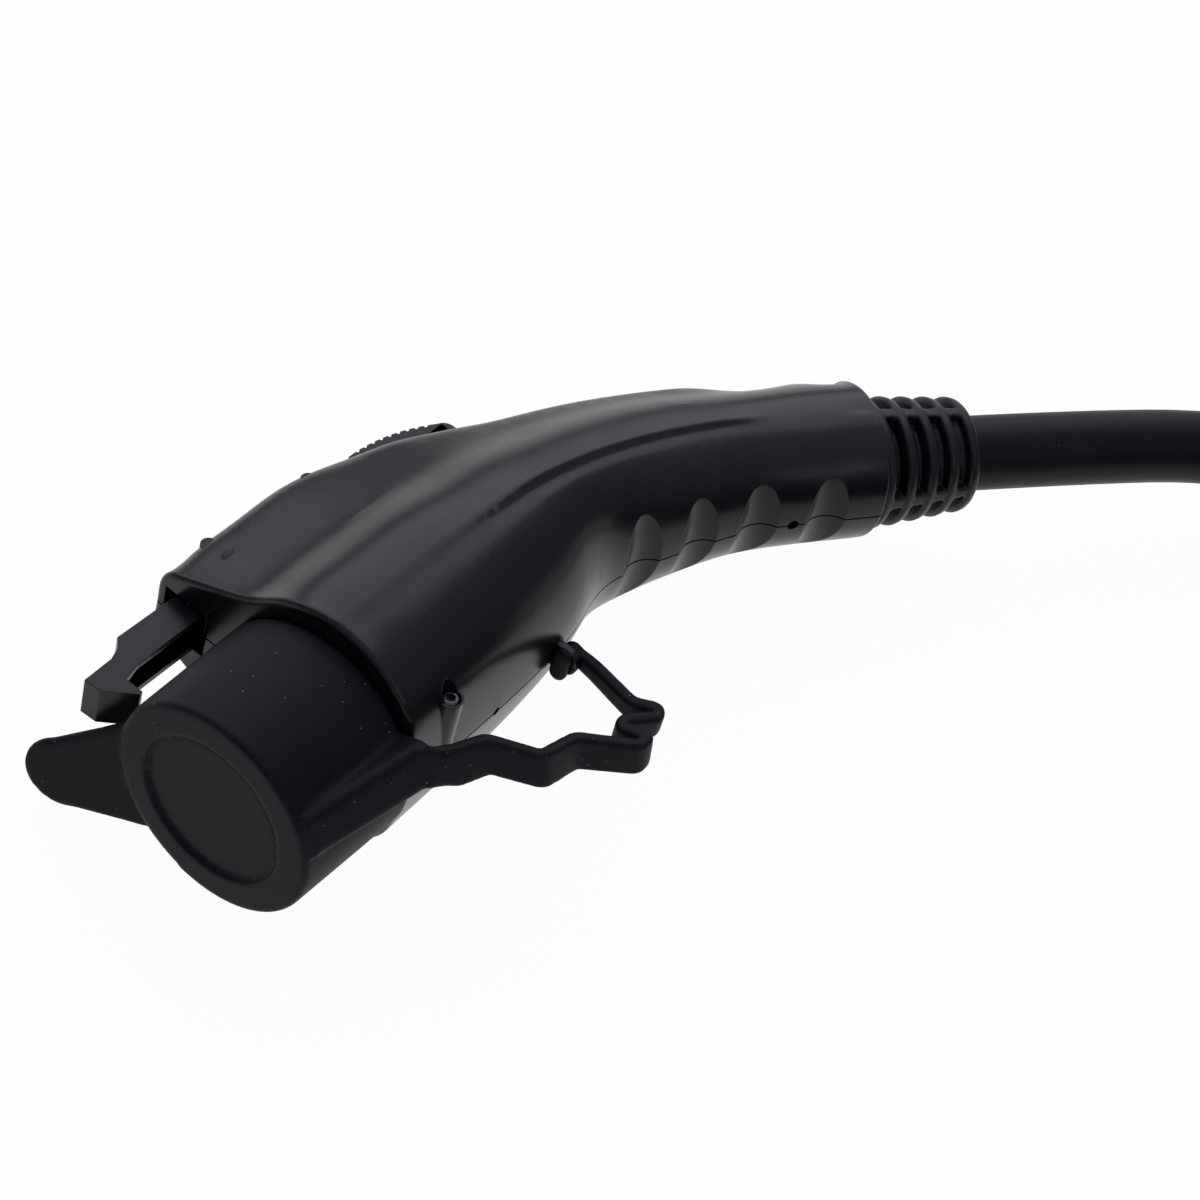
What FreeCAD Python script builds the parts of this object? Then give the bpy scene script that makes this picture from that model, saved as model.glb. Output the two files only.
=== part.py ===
import FreeCAD, Part
import math
import os
import Sketcher
from FreeCAD import Placement, Rotation, Vector

# A five-contact charging connector lying on its right side, with its rubber cap on the nose.
# +X runs out of the nose along the barrel's axis, -Y is the latch side, +Y the finger side and
# +Z the connector's left side, which faces up. The origin is on the barrel's axis at the cap's rim.

doc = FreeCAD.newDocument("charging_connector")
sheet = doc.addObject("Spreadsheet::Sheet", "sizes")

# Driving sizes in millimetres and degrees
driving = {
    # housing: the spine runs straight back from the nose, bends, and runs straight to the handle's end
    "spine_straight": 60, "spine_bend_radius": 131, "handle_bend": 34, "handle_straight": 24.4,
    "shell_front": -0.8, "shell_wall": 2.5, "front_wall": 3, "parting_gap": 0.1,
    "lip_round": 1.2, "heel_round_edge": 0.8,
    "nose_place": 1.5, "nose_width": 30.4, "nose_round": 27, "nose_depth": 27.2, "nose_crown": 44.9,
    "nose_flank": 26.65, "body_flank": 27.1, "neck_flank": 25.6, "bend_flank": 22.3, "grip_flank": 19.4,
    "palm_flank": 17, "heel_flank": 12, "flank_tilt": 24.3, "section_blend": 24,
    "body_place": 34, "body_width": 30, "body_round": 27, "body_depth": 25.3, "body_crown": 45,
    "neck_place": 60, "neck_width": 27.4, "neck_round": 25.5, "neck_depth": 22, "neck_crown": 38.5,
    "bend_place": 83, "bend_width": 23.8, "bend_round": 23.4, "bend_depth": 17, "bend_crown": 27.1,
    "grip_place": 106, "grip_width": 20.6, "grip_round": 22, "grip_depth": 17.6, "grip_crown": 23.2,
    "palm_place": 130, "palm_width": 18.6, "palm_round": 19.4, "palm_depth": 16.7, "palm_crown": 19.6,
    "heel_width": 18, "heel_round": 20.6, "heel_depth": 16.6, "heel_crown": 13,
    "flat_depth": 24.1, "flat_tilt": 6.6, "grip_floor": 2.6,
    "scallop_count": 4, "scallop_pitch": 18.6, "scallop_first": 91.5, "scallop_tube": 7.5,
    "scallop_depth": 2, "scallop_fade": 38,
    # barrel and contacts
    "barrel_radius": 21.9, "barrel_front": 28.5, "barrel_rear": -22, "barrel_lead": 1,
    "barrel_wall": 3, "barrel_core_radius": 17, "barrel_channel": 9, "barrel_rear_radius": 20,
    "barrel_hole_gap": 0.7, "flange_radius": 24.4, "flange_front": -4, "flange_back": -7,
    "flange_flat": 18.8, "post_flat": 17.6, "rib_front": -7.1, "rib_back": -9.3, "rib_bore": 21.6,
    "seal_tube": 0.75,
    "power_up": 6.8, "power_side": 7.85, "earth_down": 10.6, "pilot_down": 5.6, "pilot_side": 10.65,
    "power_bore": 1.85, "earth_bore": 1.45, "pilot_bore": 0.8,
    "power_tube": 3.4, "earth_tube": 2.9, "pilot_tube": 1.9,
    "power_collar": 4.6, "earth_collar": 4.1, "pilot_collar": 3,
    "contact_front": 26, "contact_bore_end": 2, "contact_gap": 0.3, "entry_lip": 26.2, "entry_gap": 0.75,
    "collar_front": -17.2, "collar_back": -21.9, "crimp_end": -35, "contact_slit": 0.5,
    "slit_length": 11, "retainer_thickness": 2.5, "retainer_radius": 19.5,
    "retainer_screw": 1.2, "retainer_screw_up": 15, "retainer_screw_length": 10, "screw_gap": 0.1,
    # cap and strap
    "cap_rim": -0.5, "cap_front": 31.7, "cap_front_radius": 24.9, "cap_rim_radius": 25.4,
    "cap_bore_gap": 0.7, "cap_seat_gap": 0.3, "cap_edge": 1.2, "cap_recess_radius": 17.4,
    "cap_recess_depth": 0.9, "cap_turn": 27, "tab_turn": 3, "tab_reach": 50.2,
    "tab_root_half_width": 13, "tab_tip_half_width": 8.7, "tab_thickness": 2.6, "tab_root": 21,
    "tab_root_front": 28.3, "tab_tip_front": 36.7,
    "cap_rib_width": 10.5, "cap_rib_rim": 32.4, "cap_rib_front": 26.2,
    "strap_thickness": 3, "strap_root_width": 9.8, "strap_end_width": 3.8, "strap_taper": 1.6,
    "eye_place": -53.5, "eye_thickness": 1.8, "eye_depth": 25.2, "eye_radius": 3.4, "eye_hole": 2.2,
    "plug_neck": 2.1, "plug_gap": 0.1, "plug_knob": 2.6, "plug_knob_length": 3,
    "plug_bar_half": 4.6, "plug_bar_radius": 2.1, "plug_bar_thickness": 2,
    # latch
    "latch_tip": 28.9, "latch_half_width": 5, "latch_wall": 1.6, "latch_tip_top": 37.1,
    "latch_tip_floor": 33.1, "hook_place": 22.6, "hook_reach": 27, "hook_root": 31.6,
    "arm_step": 18, "arm_step_top": 38.4, "arm_top": 40.4, "arm_floor": 32.7,
    "pivot_place": -12, "pivot_up": 35.5, "hub_radius": 3.2, "pivot_pin_radius": 2,
    "pivot_gap": 0.08, "pin_seat_gap": 0.05, "pivot_pin_reach": 13, "pivot_boss_radius": 4,
    "pivot_boss_gap": 0.4, "rear_arm_bend": -56, "rear_arm_bend_top": 36, "rear_arm_end": -78,
    "rear_arm_end_top": 27.6, "rear_arm_thickness": 4,
    "window_half_width": 6.2, "window_top": 42.6, "window_floor": 30.6,
    "button_front": -57, "button_rear": -82.3, "button_half_width": 7.5, "button_height": 40.8,
    "button_crest": 38.9, "button_rear_height": 34.2, "button_side_step": 3.5,
    "button_slot_gap": 0.7, "button_slot_floor": 20, "button_groove": 0.5, "button_groove_pitch": 2.3,
    "button_groove_count": 9,
    "spring_place": -68, "spring_seat": 15, "spring_radius": 3.3, "spring_wire": 0.4,
    "spring_pitch": 2.6, "spring_gap": 0.3, "spring_post_radius": 2.2, "spring_post_height": 4,
    # switch and board
    "board_front": -13, "board_rear": -48, "board_half_width": 11.5, "board_up": 24.5,
    "board_thickness": 1.6, "switch_place": -24, "switch_length": 10, "switch_half_width": 3,
    "switch_height": 4, "plunger_radius": 1.2, "plunger_bore_gap": 0.05, "plunger_length": 3.2,
    "plunger_gap": 0.3, "plunger_bore": 3.2,
    # shell screws
    "screw_radius": 1.3, "screw_head_radius": 2.1, "screw_head_height": 1.8, "screw_post_radius": 3.4,
    "screw_right_reach": 9, "screw_tip_reach": 5, "under_screw_depth": 21.4, "under_boss_left": 17,
    "under_boss_right": 6, "top_boss_radius": 2, "top_boss_start": 6, "top_boss_end": 9.5,
    "under_boss_radius": 2.8,
    # handle end, boot and clamp, measured back from the handle's end
    "end_wall": 3, "end_hole": 12.6, "end_bore": 13.9, "heel_length": 15,
    "boot_length": 25.8, "boot_radius": 15.8, "boot_tip_radius": 13.6, "boot_sleeve": 11.2,
    "boot_rings": 5, "boot_gap": 2.8, "boot_window": 78, "boot_neck": 12.3, "boot_flange": 13.6, "boot_turn": 39,
    "boot_flange_thickness": 2.4, "boot_bore_gap": 0.15, "boot_face_gap": 0.1,
    "clamp_near": 7, "clamp_far": 14.5, "clamp_radius": 13.6, "clamp_half_height": 10.2,
    "clamp_split": 0.3, "clamp_bore_gap": 0.05, "clamp_screw": 1.3, "clamp_screw_side": 11.2,
    "clamp_screw_head": 2, "clamp_screw_height": 1.3, "clamp_screw_sink": 6.2,
    "clamp_screw_length": 10.4, "jacket_start": 17,
    # cable and cores
    "cable_radius": 9, "power_core": 2.6, "pilot_core": 1.2, "floor_depth": 30.4,
    "coil_mean_radius": 90, "coil_corner": 8, "tail_length": 60,
}
for row, (name, amount) in enumerate(driving.items(), 1):
    sheet.set(f"A{row}", name)
    sheet.set(f"B{row}", str(amount))
    sheet.setAlias(f"B{row}", name)
doc.recompute()

nodes = []


# A formula in the sheet's names, as a number
def amount_of(formula):
    return float(sheet.evalExpression(formula))


def keep(piece):
    nodes.append(piece)
    return piece


def plane_of(body, role):
    return [plane for plane in body.Origin.OriginFeatures if plane.Role == role][0]


def new_body(label):
    body = doc.addObject("PartDesign::Body", label)
    body.Label = label
    return body


def new_sketch(body, role, name, offset=None):
    sketch = body.newObject("Sketcher::SketchObject", name)
    sketch.AttachmentSupport = (plane_of(body, role), [""])
    sketch.MapMode = "FlatFace"
    if offset:
        sketch.AttachmentOffset = Placement(Vector(0, 0, amount_of(offset)), Rotation())
        sketch.setExpression("AttachmentOffset.Base.z", offset)
    return sketch


# Ties one point of a sketch's line or circle to two formulas
def tie_point(sketch, line, end, across, along):
    for kind, formula in (("DistanceX", across), ("DistanceY", along)):
        rule = Sketcher.Constraint(kind, -1, 1, line, end, amount_of(formula))
        sketch.setExpression(f"Constraints[{sketch.addConstraint(rule)}]", formula)


# Adds a closed straight-sided outline whose corners are pairs of formulas
def add_outline(sketch, corners):
    first = sketch.GeometryCount
    places = [Vector(amount_of(across), amount_of(along), 0) for across, along in corners]
    count = len(places)
    for turn in range(count):
        sketch.addGeometry(Part.LineSegment(places[turn], places[(turn + 1) % count]), False)
    for turn in range(count):
        joined = first + (turn + 1) % count
        sketch.addConstraint(Sketcher.Constraint("Coincident", first + turn, 2, joined, 1))
    for turn, (across, along) in enumerate(corners):
        tie_point(sketch, first + turn, 1, across, along)


def add_circle(sketch, across, along, radius):
    middle = Vector(amount_of(across), amount_of(along), 0)
    ring = sketch.addGeometry(Part.Circle(middle, Vector(0, 0, 1), amount_of(radius)), False)
    rule = Sketcher.Constraint("Radius", ring, amount_of(radius))
    sketch.setExpression(f"Constraints[{sketch.addConstraint(rule)}]", radius)
    tie_point(sketch, ring, 3, across, along)


# Turns an outline of (along, radius) formulas about the body's own X axis
def turn_profile(body, corners, name):
    sketch = new_sketch(body, "XY_Plane", name + "_outline")
    add_outline(sketch, corners)
    turned = body.newObject("PartDesign::Revolution", name)
    turned.Profile = sketch
    turned.ReferenceAxis = (sketch, ["H_Axis"])
    turned.Angle = 360
    return turned


def pad(body, sketch, name, length, middle=False):
    feature = body.newObject("PartDesign::Pad", name)
    feature.Profile = sketch
    feature.setExpression("Length", length)
    feature.Midplane = middle
    return feature


def pocket(body, sketch, name, length, middle=False, reverse=False):
    feature = body.newObject("PartDesign::Pocket", name)
    feature.Profile = sketch
    feature.setExpression("Length", length)
    feature.Midplane = middle
    feature.Reversed = reverse
    return feature


# A piece whose shape is worked out by this file's own functions
def shaped(label, shape, place=None):
    piece = doc.addObject("Part::Feature", label)
    piece.Label = label
    piece.Shape = shape
    if place:
        piece.Placement = place
    return piece


def cylinder(radius, start, end):
    return Part.makeCylinder(radius, (end - start).Length, start, end - start)


def box(low, high):
    size = Vector(*high) - Vector(*low)
    return Part.makeBox(size.x, size.y, size.z, Vector(*low))


# The spine: a point and the backward direction's angle at a distance from the nose
def spine(distance):
    turn = math.radians(sheet.handle_bend)
    arc = sheet.spine_bend_radius * turn
    if distance <= sheet.spine_straight:
        return Vector(-distance, 0, 0), 0
    if distance <= sheet.spine_straight + arc:
        angle = (distance - sheet.spine_straight) / sheet.spine_bend_radius
        reach = sheet.spine_bend_radius
        along = -sheet.spine_straight - reach * math.sin(angle)
        return Vector(along, reach * (1 - math.cos(angle)), 0), angle
    middle, _ = spine(sheet.spine_straight + arc)
    rest = distance - sheet.spine_straight - arc
    return middle + Vector(-math.cos(turn), math.sin(turn), 0) * rest, turn


def spine_length():
    return (sheet.spine_straight + sheet.spine_bend_radius * math.radians(sheet.handle_bend)
            + sheet.handle_straight)


# Places a piece that is drawn about +X at the handle's end, pointing out of it
def handle_end():
    middle, turn = spine(spine_length())
    return Placement(middle, Rotation(Vector(0, 0, 1), 180 - math.degrees(turn)))


# A point of the handle: back from its end, up towards the latch side, and to the left
def handle_point(back, up, left):
    return handle_end().multVec(Vector(back, up, left))


# Radius of the housing's section at an angle from its left side towards the latch side: an oval body
# under a hood with a flat crown and leaning flanks, and a shallow V of two flats along the underside
def section_radius(angle, width, round_height, depth, crown, flank, inset):
    across = abs(math.cos(angle))
    up = abs(math.sin(angle))
    blend = sheet.section_blend
    if math.sin(angle) <= 0:
        body = 1 / math.hypot(across / (width - inset), up / (depth - inset))
        flat = (sheet.flat_depth - inset) / (up + across * math.tan(math.radians(sheet.flat_tilt)))
        return (body ** -blend + flat ** -blend) ** (-1 / blend)
    body = 1 / math.hypot(across / (width - inset), up / (round_height - inset))
    tilt = math.radians(sheet.flank_tilt)
    side = (flank - inset) / (across * math.cos(tilt) + up * math.sin(tilt))
    top = (crown - inset) / max(up, 0.01)
    hood = (side ** -blend + top ** -blend) ** (-1 / blend)
    return (body ** blend + hood ** blend) ** (1 / blend)


def section_wire(distance, width, round_height, depth, crown, flank, inset, count):
    middle, turn = spine(distance)
    up = Vector(-math.sin(turn), -math.cos(turn), 0)
    points = []
    for step in range(count):
        angle = 2 * math.pi * (step + 0.5) / count
        reach = section_radius(angle, width, round_height, depth, crown, flank, inset)
        points.append(middle + up * (reach * math.sin(angle)) + Vector(0, 0, reach * math.cos(angle)))
    curve = Part.BSplineCurve()
    steps = [step / count for step in range(count + 1)]
    curve.interpolate(Points=points, PeriodicFlag=True, Parameters=steps)
    return Part.Wire(curve.toShape())


# The named sections from nose to heel: place, half width, round height, depth, crown, flank, grip floor
def housing_sections():
    parts = ("place", "width", "round", "depth", "crown", "flank")
    sections = []
    for name in ("nose", "body", "neck", "bend", "grip", "palm"):
        floor = sheet.grip_floor if name in ("bend", "grip", "palm") else 0
        sections.append((*(getattr(sheet, f"{name}_{part}") for part in parts), floor))
    heel = [getattr(sheet, f"heel_{part}") for part in parts[1:]]
    for distance in (spine_length() - sheet.heel_length, spine_length()):
        sections.append((distance, *heel, sheet.grip_floor))
    return sections


# A value that runs smoothly through the named sections and never overshoots between two of them
def smooth_value(places, values, place):
    gaps = [after - before for before, after in zip(places, places[1:])]
    slopes = [(after - before) / gap for before, after, gap in zip(values, values[1:], gaps)]
    tilts = [slopes[0]]
    for before, after in zip(slopes, slopes[1:]):
        tilts.append(2 * before * after / (before + after) if before * after > 0 else 0)
    tilts.append(slopes[-1])
    turn = 0
    while turn < len(gaps) - 1 and place > places[turn + 1]:
        turn += 1
    gap = gaps[turn]
    share = (place - places[turn]) / gap
    rest = 1 - share
    return (values[turn] * (1 + 2 * share) * rest ** 2 + tilts[turn] * gap * share * rest ** 2
            + values[turn + 1] * share ** 2 * (3 - 2 * share)
            - tilts[turn + 1] * gap * share ** 2 * rest)


# All the section's values at a distance from the nose
def section_at(distance):
    columns = list(zip(*housing_sections()))
    return [smooth_value(columns[0], column, distance) for column in columns[1:]]


# The housing's loft, drawn in from its skin by a wall and raised off the grip's underside by a floor
def housing_solid(inset, count, has_floor, last):
    first = -sheet.shell_front + sheet.lip_round
    stations = 18
    wires = []
    for turn in range(stations + 1):
        distance = first + (last - first) * turn / stations
        width, round_height, depth, crown, flank, floor = section_at(distance)
        under = depth - floor if has_floor else depth
        wires.append(section_wire(distance, width, round_height, under, crown, flank, inset, count))
    return Part.makeLoft(wires, True, False)


# A rounded edge at one end of the housing, built out from a place by a quarter round
def rounded_end(place, edge, way):
    width, round_height, depth, crown, flank, _ = section_at(place)
    steps = 4
    wires = []
    for step in range(steps + 1):
        turn = math.radians(90 * step / steps)
        distance = place + way * edge * math.sin(turn)
        inset = edge * (1 - math.cos(turn))
        wires.append(section_wire(distance, width, round_height, depth, crown, flank, inset, SKIN_POINTS))
    return Part.makeLoft(wires, True, True)


# Finger scallops: round rings across the handle, deep at the underside and fading out up its flanks
def scallops():
    rings = []
    fade = math.radians(sheet.scallop_fade)
    for turn in range(int(sheet.scallop_count)):
        distance = sheet.scallop_first + turn * sheet.scallop_pitch
        middle, angle = spine(distance)
        width, _, depth, _, _, _ = section_at(distance)
        bottom = depth - sheet.scallop_depth
        side = width * math.sin(fade)
        low = depth * math.cos(fade)
        shift = (side ** 2 + low ** 2 - bottom ** 2) / (2 * (bottom - low))
        up = Vector(-math.sin(angle), -math.cos(angle), 0)
        back = Vector(-math.cos(angle), math.sin(angle), 0)
        ring_radius = bottom + shift + sheet.scallop_tube
        rings.append(Part.makeTorus(ring_radius, sheet.scallop_tube, middle + up * shift, back))
    return Part.Compound(rings)


# Places of the shell screws: across the seam, as (x, y) with the side that the head is on
def screw_places():
    under = (-13.8, sheet.under_screw_depth, 1)
    top_front = (-13.5, -42.6, -1)
    top_rear = (-43.6, -41, -1)
    places = [under, top_front, top_rear]
    for distance, up in ((71, -15.8), (118, 12.4), (141, -10.4)):
        middle, angle = spine(distance)
        spot = middle + Vector(-math.sin(angle), -math.cos(angle), 0) * up
        places.append((spot.x, spot.y, -1))
    return places


# How many points round a section the skin and the wall's inner face are drawn through
SKIN_POINTS = 72
WALL_POINTS = 40


def housing():
    last = spine_length() - sheet.heel_round_edge
    outer = housing_solid(0, SKIN_POINTS, False, last)
    outer = outer.fuse(rounded_end(-sheet.shell_front + sheet.lip_round, sheet.lip_round, -1))
    outer = outer.fuse(rounded_end(last, sheet.heel_round_edge, 1))
    outer = outer.cut(scallops())
    cavity = housing_solid(sheet.shell_wall, WALL_POINTS, True, spine_length() - sheet.end_wall)
    far = 60
    front = sheet.shell_front - sheet.front_wall
    cavity = cavity.cut(box((front, -far, -far), (far, far, far)))
    return outer, cavity


# Ribs, posts and bosses that are moulded inside the shells
def inner_ribs(outer):
    far = 60
    parts = []
    ring = cylinder(far, Vector(sheet.rib_back, 0, 0), Vector(sheet.rib_front, 0, 0))
    ring = ring.cut(cylinder(sheet.rib_bore, Vector(sheet.rib_back, 0, 0), Vector(sheet.rib_front, 0, 0)))
    ring = ring.cut(box((sheet.rib_back, -far, -far), (sheet.rib_front, -sheet.window_floor + 2, far)))
    parts.append(ring)
    for x, y, _ in screw_places():
        parts.append(cylinder(sheet.screw_post_radius, Vector(x, y, -far), Vector(x, y, far)))
    hub_gap = sheet.latch_half_width + sheet.pivot_boss_gap
    for side in (1, -1):
        near = Vector(sheet.pivot_place, -sheet.pivot_up, side * hub_gap)
        away = Vector(sheet.pivot_place, -sheet.pivot_up, side * far)
        parts.append(cylinder(sheet.pivot_boss_radius, near, away))
        ledge_low = min(side * (sheet.board_half_width - 1.5), side * far)
        ledge_high = max(side * (sheet.board_half_width - 1.5), side * far)
        top = -sheet.board_up
        parts.append(box((sheet.board_rear, top, ledge_low), (sheet.board_rear + 16, top + 2, ledge_high)))
    seat = sheet.spring_seat
    half = sheet.spring_radius + 3
    plate = box((sheet.spring_place - half, -seat, -far), (sheet.spring_place + half, -seat + 2, far))
    post = cylinder(sheet.spring_post_radius, Vector(sheet.spring_place, -seat, 0),
                    Vector(sheet.spring_place, -seat - sheet.spring_post_height, 0))
    parts.append(plate)
    parts.append(post)
    clamp_rib = cylinder(sheet.end_bore + 1, handle_point(-sheet.clamp_far - 2.2, 0, 0),
                         handle_point(-sheet.clamp_far - 0.2, 0, 0))
    clamp_rib = clamp_rib.cut(cylinder(sheet.cable_radius + 1.5, handle_point(-sheet.clamp_far - 3, 0, 0),
                                       handle_point(-sheet.clamp_far, 0, 0)))
    parts.append(clamp_rib)
    ribs = parts[0].multiFuse(parts[1:])
    return ribs.common(outer)


# Round screw bosses that stand proud of the underside and the crown, and the strap's eye
def outer_bosses():
    x, y, _ = screw_places()[0]
    parts = [cylinder(sheet.under_boss_radius, Vector(x, y, -sheet.under_boss_right),
                      Vector(x, y, sheet.under_boss_left))]
    for x, y, _ in screw_places()[1:3]:
        parts.append(cylinder(sheet.top_boss_radius, Vector(x, y, sheet.top_boss_start),
                              Vector(x, y, sheet.top_boss_end)))
    half = sheet.eye_thickness / 2
    middle = sheet.eye_place
    radius = sheet.eye_radius
    parts.append(box((middle - half, 17, -radius), (middle + half, sheet.eye_depth, radius)))
    parts.append(cylinder(radius, Vector(middle - half, sheet.eye_depth, 0),
                          Vector(middle + half, sheet.eye_depth, 0)))
    return parts[0].multiFuse(parts[1:])


def shell_cuts():
    far = 60
    front = sheet.shell_front
    bore = sheet.barrel_radius + sheet.barrel_hole_gap
    back = front - sheet.front_wall - 1
    cuts = [cylinder(bore, Vector(back, 0, 0), Vector(front + 1, 0, 0))]
    cuts.append(cylinder(sheet.rib_bore, Vector(sheet.rib_back, 0, 0), Vector(sheet.rib_front, 0, 0)))
    half = sheet.window_half_width
    cuts.append(box((back, -sheet.window_top, -half), (front + 1, -sheet.window_floor, half)))
    gap = sheet.button_slot_gap
    side = sheet.button_half_width + gap
    cuts.append(box((sheet.button_rear - gap, -far, -side),
                    (sheet.button_front + gap, -sheet.button_slot_floor, side)))
    cuts.append(cylinder(sheet.end_hole, handle_point(-sheet.end_wall - 1, 0, 0), handle_point(1, 0, 0)))
    cuts.append(cylinder(sheet.end_bore, handle_point(-sheet.clamp_far - 0.1, 0, 0),
                         handle_point(-sheet.end_wall, 0, 0)))
    cuts.append(cylinder(sheet.pivot_pin_radius + sheet.pin_seat_gap,
                         Vector(sheet.pivot_place, -sheet.pivot_up, -sheet.pivot_pin_reach - 0.1),
                         Vector(sheet.pivot_place, -sheet.pivot_up, sheet.pivot_pin_reach + 0.1)))
    middle = sheet.eye_place
    cuts.append(cylinder(sheet.eye_hole, Vector(middle - 3, sheet.eye_depth, 0),
                         Vector(middle + 3, sheet.eye_depth, 0)))
    cuts.append(cylinder(1, Vector(-31, 10, 0), Vector(-31, 40, 0)))
    drain, angle = spine(spine_length() - 23.1)
    down = Vector(math.sin(angle), math.cos(angle), 0)
    cuts.append(cylinder(1.4, drain + down * 5, drain + down * 30))
    shank = sheet.screw_radius + sheet.screw_gap
    sink = sheet.screw_head_radius + 0.15
    for x, y, head_side in screw_places():
        head = screw_head_face(x, y, head_side)
        tip = -head_side * sheet.screw_tip_reach
        cuts.append(cylinder(shank, Vector(x, y, head), Vector(x, y, tip - head_side * 0.3)))
        cuts.append(cylinder(sink, Vector(x, y, head), Vector(x, y, head_side * far)))
    return cuts[0].multiFuse(cuts[1:])


# Height of the face that a shell screw's head sits on
def screw_head_face(x, y, head_side):
    if head_side > 0:
        return head_side * (sheet.under_boss_left - sheet.screw_head_height)
    return head_side * sheet.screw_right_reach


def make_shells():
    outer, cavity = housing()
    solid = outer.fuse(outer_bosses()).cut(cavity)
    solid = solid.fuse(inner_ribs(outer))
    solid = solid.cut(shell_cuts())
    far = 300
    gap = sheet.parting_gap
    left = solid.common(box((-far, -far, gap), (far, far, far)))
    right = solid.common(box((-far, -far, -far), (far, far, -gap)))
    keep(shaped("left_shell", left))
    keep(shaped("right_shell", right))


# A pan-head screw drawn about +X, with its head's seat at x = 0 and its tip at -length
def screw(radius, length, head_radius, head_height):
    shank = cylinder(radius, Vector(0, 0, 0), Vector(-length, 0, 0))
    tip = min(radius * 0.5, length * 0.2)
    shank = shank.makeChamfer(tip, [edge for edge in shank.Edges if edge.BoundBox.XMax < -length + 0.01])
    head = cylinder(head_radius, Vector(0, 0, 0), Vector(head_height, 0, 0))
    rim = [edge for edge in head.Edges if edge.BoundBox.XMin > head_height - 0.01]
    head = head.makeFillet(min(head_height, head_radius) * 0.45, rim)
    size = head_radius * 0.55
    socket = Part.makePolygon([Vector(head_height * 0.4, size * math.cos(math.radians(60 * turn)),
                                      size * math.sin(math.radians(60 * turn))) for turn in range(7)])
    socket = Part.Face(socket).extrude(Vector(head_height, 0, 0))
    return shank.fuse(head).cut(socket)


def make_shell_screws():
    screws = []
    for x, y, head_side in screw_places():
        head = screw_head_face(x, y, head_side)
        length = abs(head) + sheet.screw_tip_reach
        one = screw(sheet.screw_radius, length, sheet.screw_head_radius, sheet.screw_head_height)
        turn = Rotation(Vector(1, 0, 0), Vector(0, 0, head_side))
        one.Placement = Placement(Vector(x, y, head), turn)
        screws.append(one)
    keep(shaped("shell_screws", Part.Compound(screws)))


def make_nose_barrel():
    body = new_body("nose_barrel")
    wall = "(sizes.barrel_radius - sizes.barrel_wall)"
    channel = "sizes.barrel_front - sizes.barrel_channel"
    turn_profile(body, [
        ("sizes.barrel_rear", "0"),
        ("sizes.barrel_rear", "sizes.barrel_rear_radius"),
        ("sizes.flange_back", "sizes.barrel_rear_radius"),
        ("sizes.flange_back", "sizes.flange_radius"),
        ("sizes.flange_front", "sizes.flange_radius"),
        ("sizes.flange_front", "sizes.barrel_radius"),
        ("sizes.barrel_front - sizes.barrel_lead", "sizes.barrel_radius"),
        ("sizes.barrel_front", "sizes.barrel_radius - sizes.barrel_lead"),
        ("sizes.barrel_front", wall),
        (channel, wall),
        (channel, "sizes.barrel_core_radius"),
        ("sizes.barrel_front", "sizes.barrel_core_radius"),
        ("sizes.barrel_front", "0"),
    ], "barrel_turn")
    flat = new_sketch(body, "YZ_Plane", "flange_flat_sketch", "sizes.flange_front")
    side = "sizes.flange_radius + 1"
    add_outline(flat, [("sizes.flange_flat", f"-({side})"), (side, f"-({side})"),
                       (side, side), ("sizes.flange_flat", side)])
    pocket(body, flat, "flange_flat_cut", "sizes.flange_front - sizes.flange_back")
    post = new_sketch(body, "YZ_Plane", "post_flat_sketch", "sizes.rib_back - 0.4")
    add_outline(post, [("sizes.post_flat", f"-({side})"), (side, f"-({side})"),
                       (side, side), ("sizes.post_flat", side)])
    pocket(body, post, "post_flat_cut", "sizes.rib_back - sizes.barrel_rear")
    front = new_sketch(body, "YZ_Plane", "entry_sketch", "sizes.barrel_front")
    cavity = new_sketch(body, "YZ_Plane", "cavity_sketch", "sizes.barrel_rear")
    collar = new_sketch(body, "YZ_Plane", "collar_sketch", "sizes.barrel_rear")
    for kind, across, along in CONTACT_PLACES:
        add_circle(front, across, along, f"sizes.{kind}_bore + sizes.entry_gap")
        add_circle(cavity, across, along, f"sizes.{kind}_tube + sizes.contact_gap")
        add_circle(collar, across, along, f"sizes.{kind}_collar + sizes.contact_gap")
    pocket(body, front, "entry_holes", "sizes.barrel_front - sizes.entry_lip + 1")
    pocket(body, cavity, "cavities", "sizes.entry_lip - sizes.barrel_rear", reverse=True)
    pocket(body, collar, "collar_seats", "sizes.collar_front - sizes.barrel_rear + 0.1", reverse=True)
    pilot = new_sketch(body, "YZ_Plane", "retainer_screw_sketch", "sizes.barrel_rear")
    for up in ("0", "-sizes.retainer_screw_up"):
        add_circle(pilot, up, "0", "sizes.retainer_screw + sizes.screw_gap")
    pocket(body, pilot, "retainer_screw_holes", "sizes.retainer_screw_length - 1", reverse=True)
    keep(body)


# Each contact's size family and its place across the nose: (kind, y, z)
CONTACT_PLACES = [
    ("power", "-sizes.power_up", "sizes.power_side"),
    ("power", "-sizes.power_up", "-sizes.power_side"),
    ("earth", "sizes.earth_down", "0"),
    ("pilot", "sizes.pilot_down", "sizes.pilot_side"),
    ("pilot", "sizes.pilot_down", "-sizes.pilot_side"),
]


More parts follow.
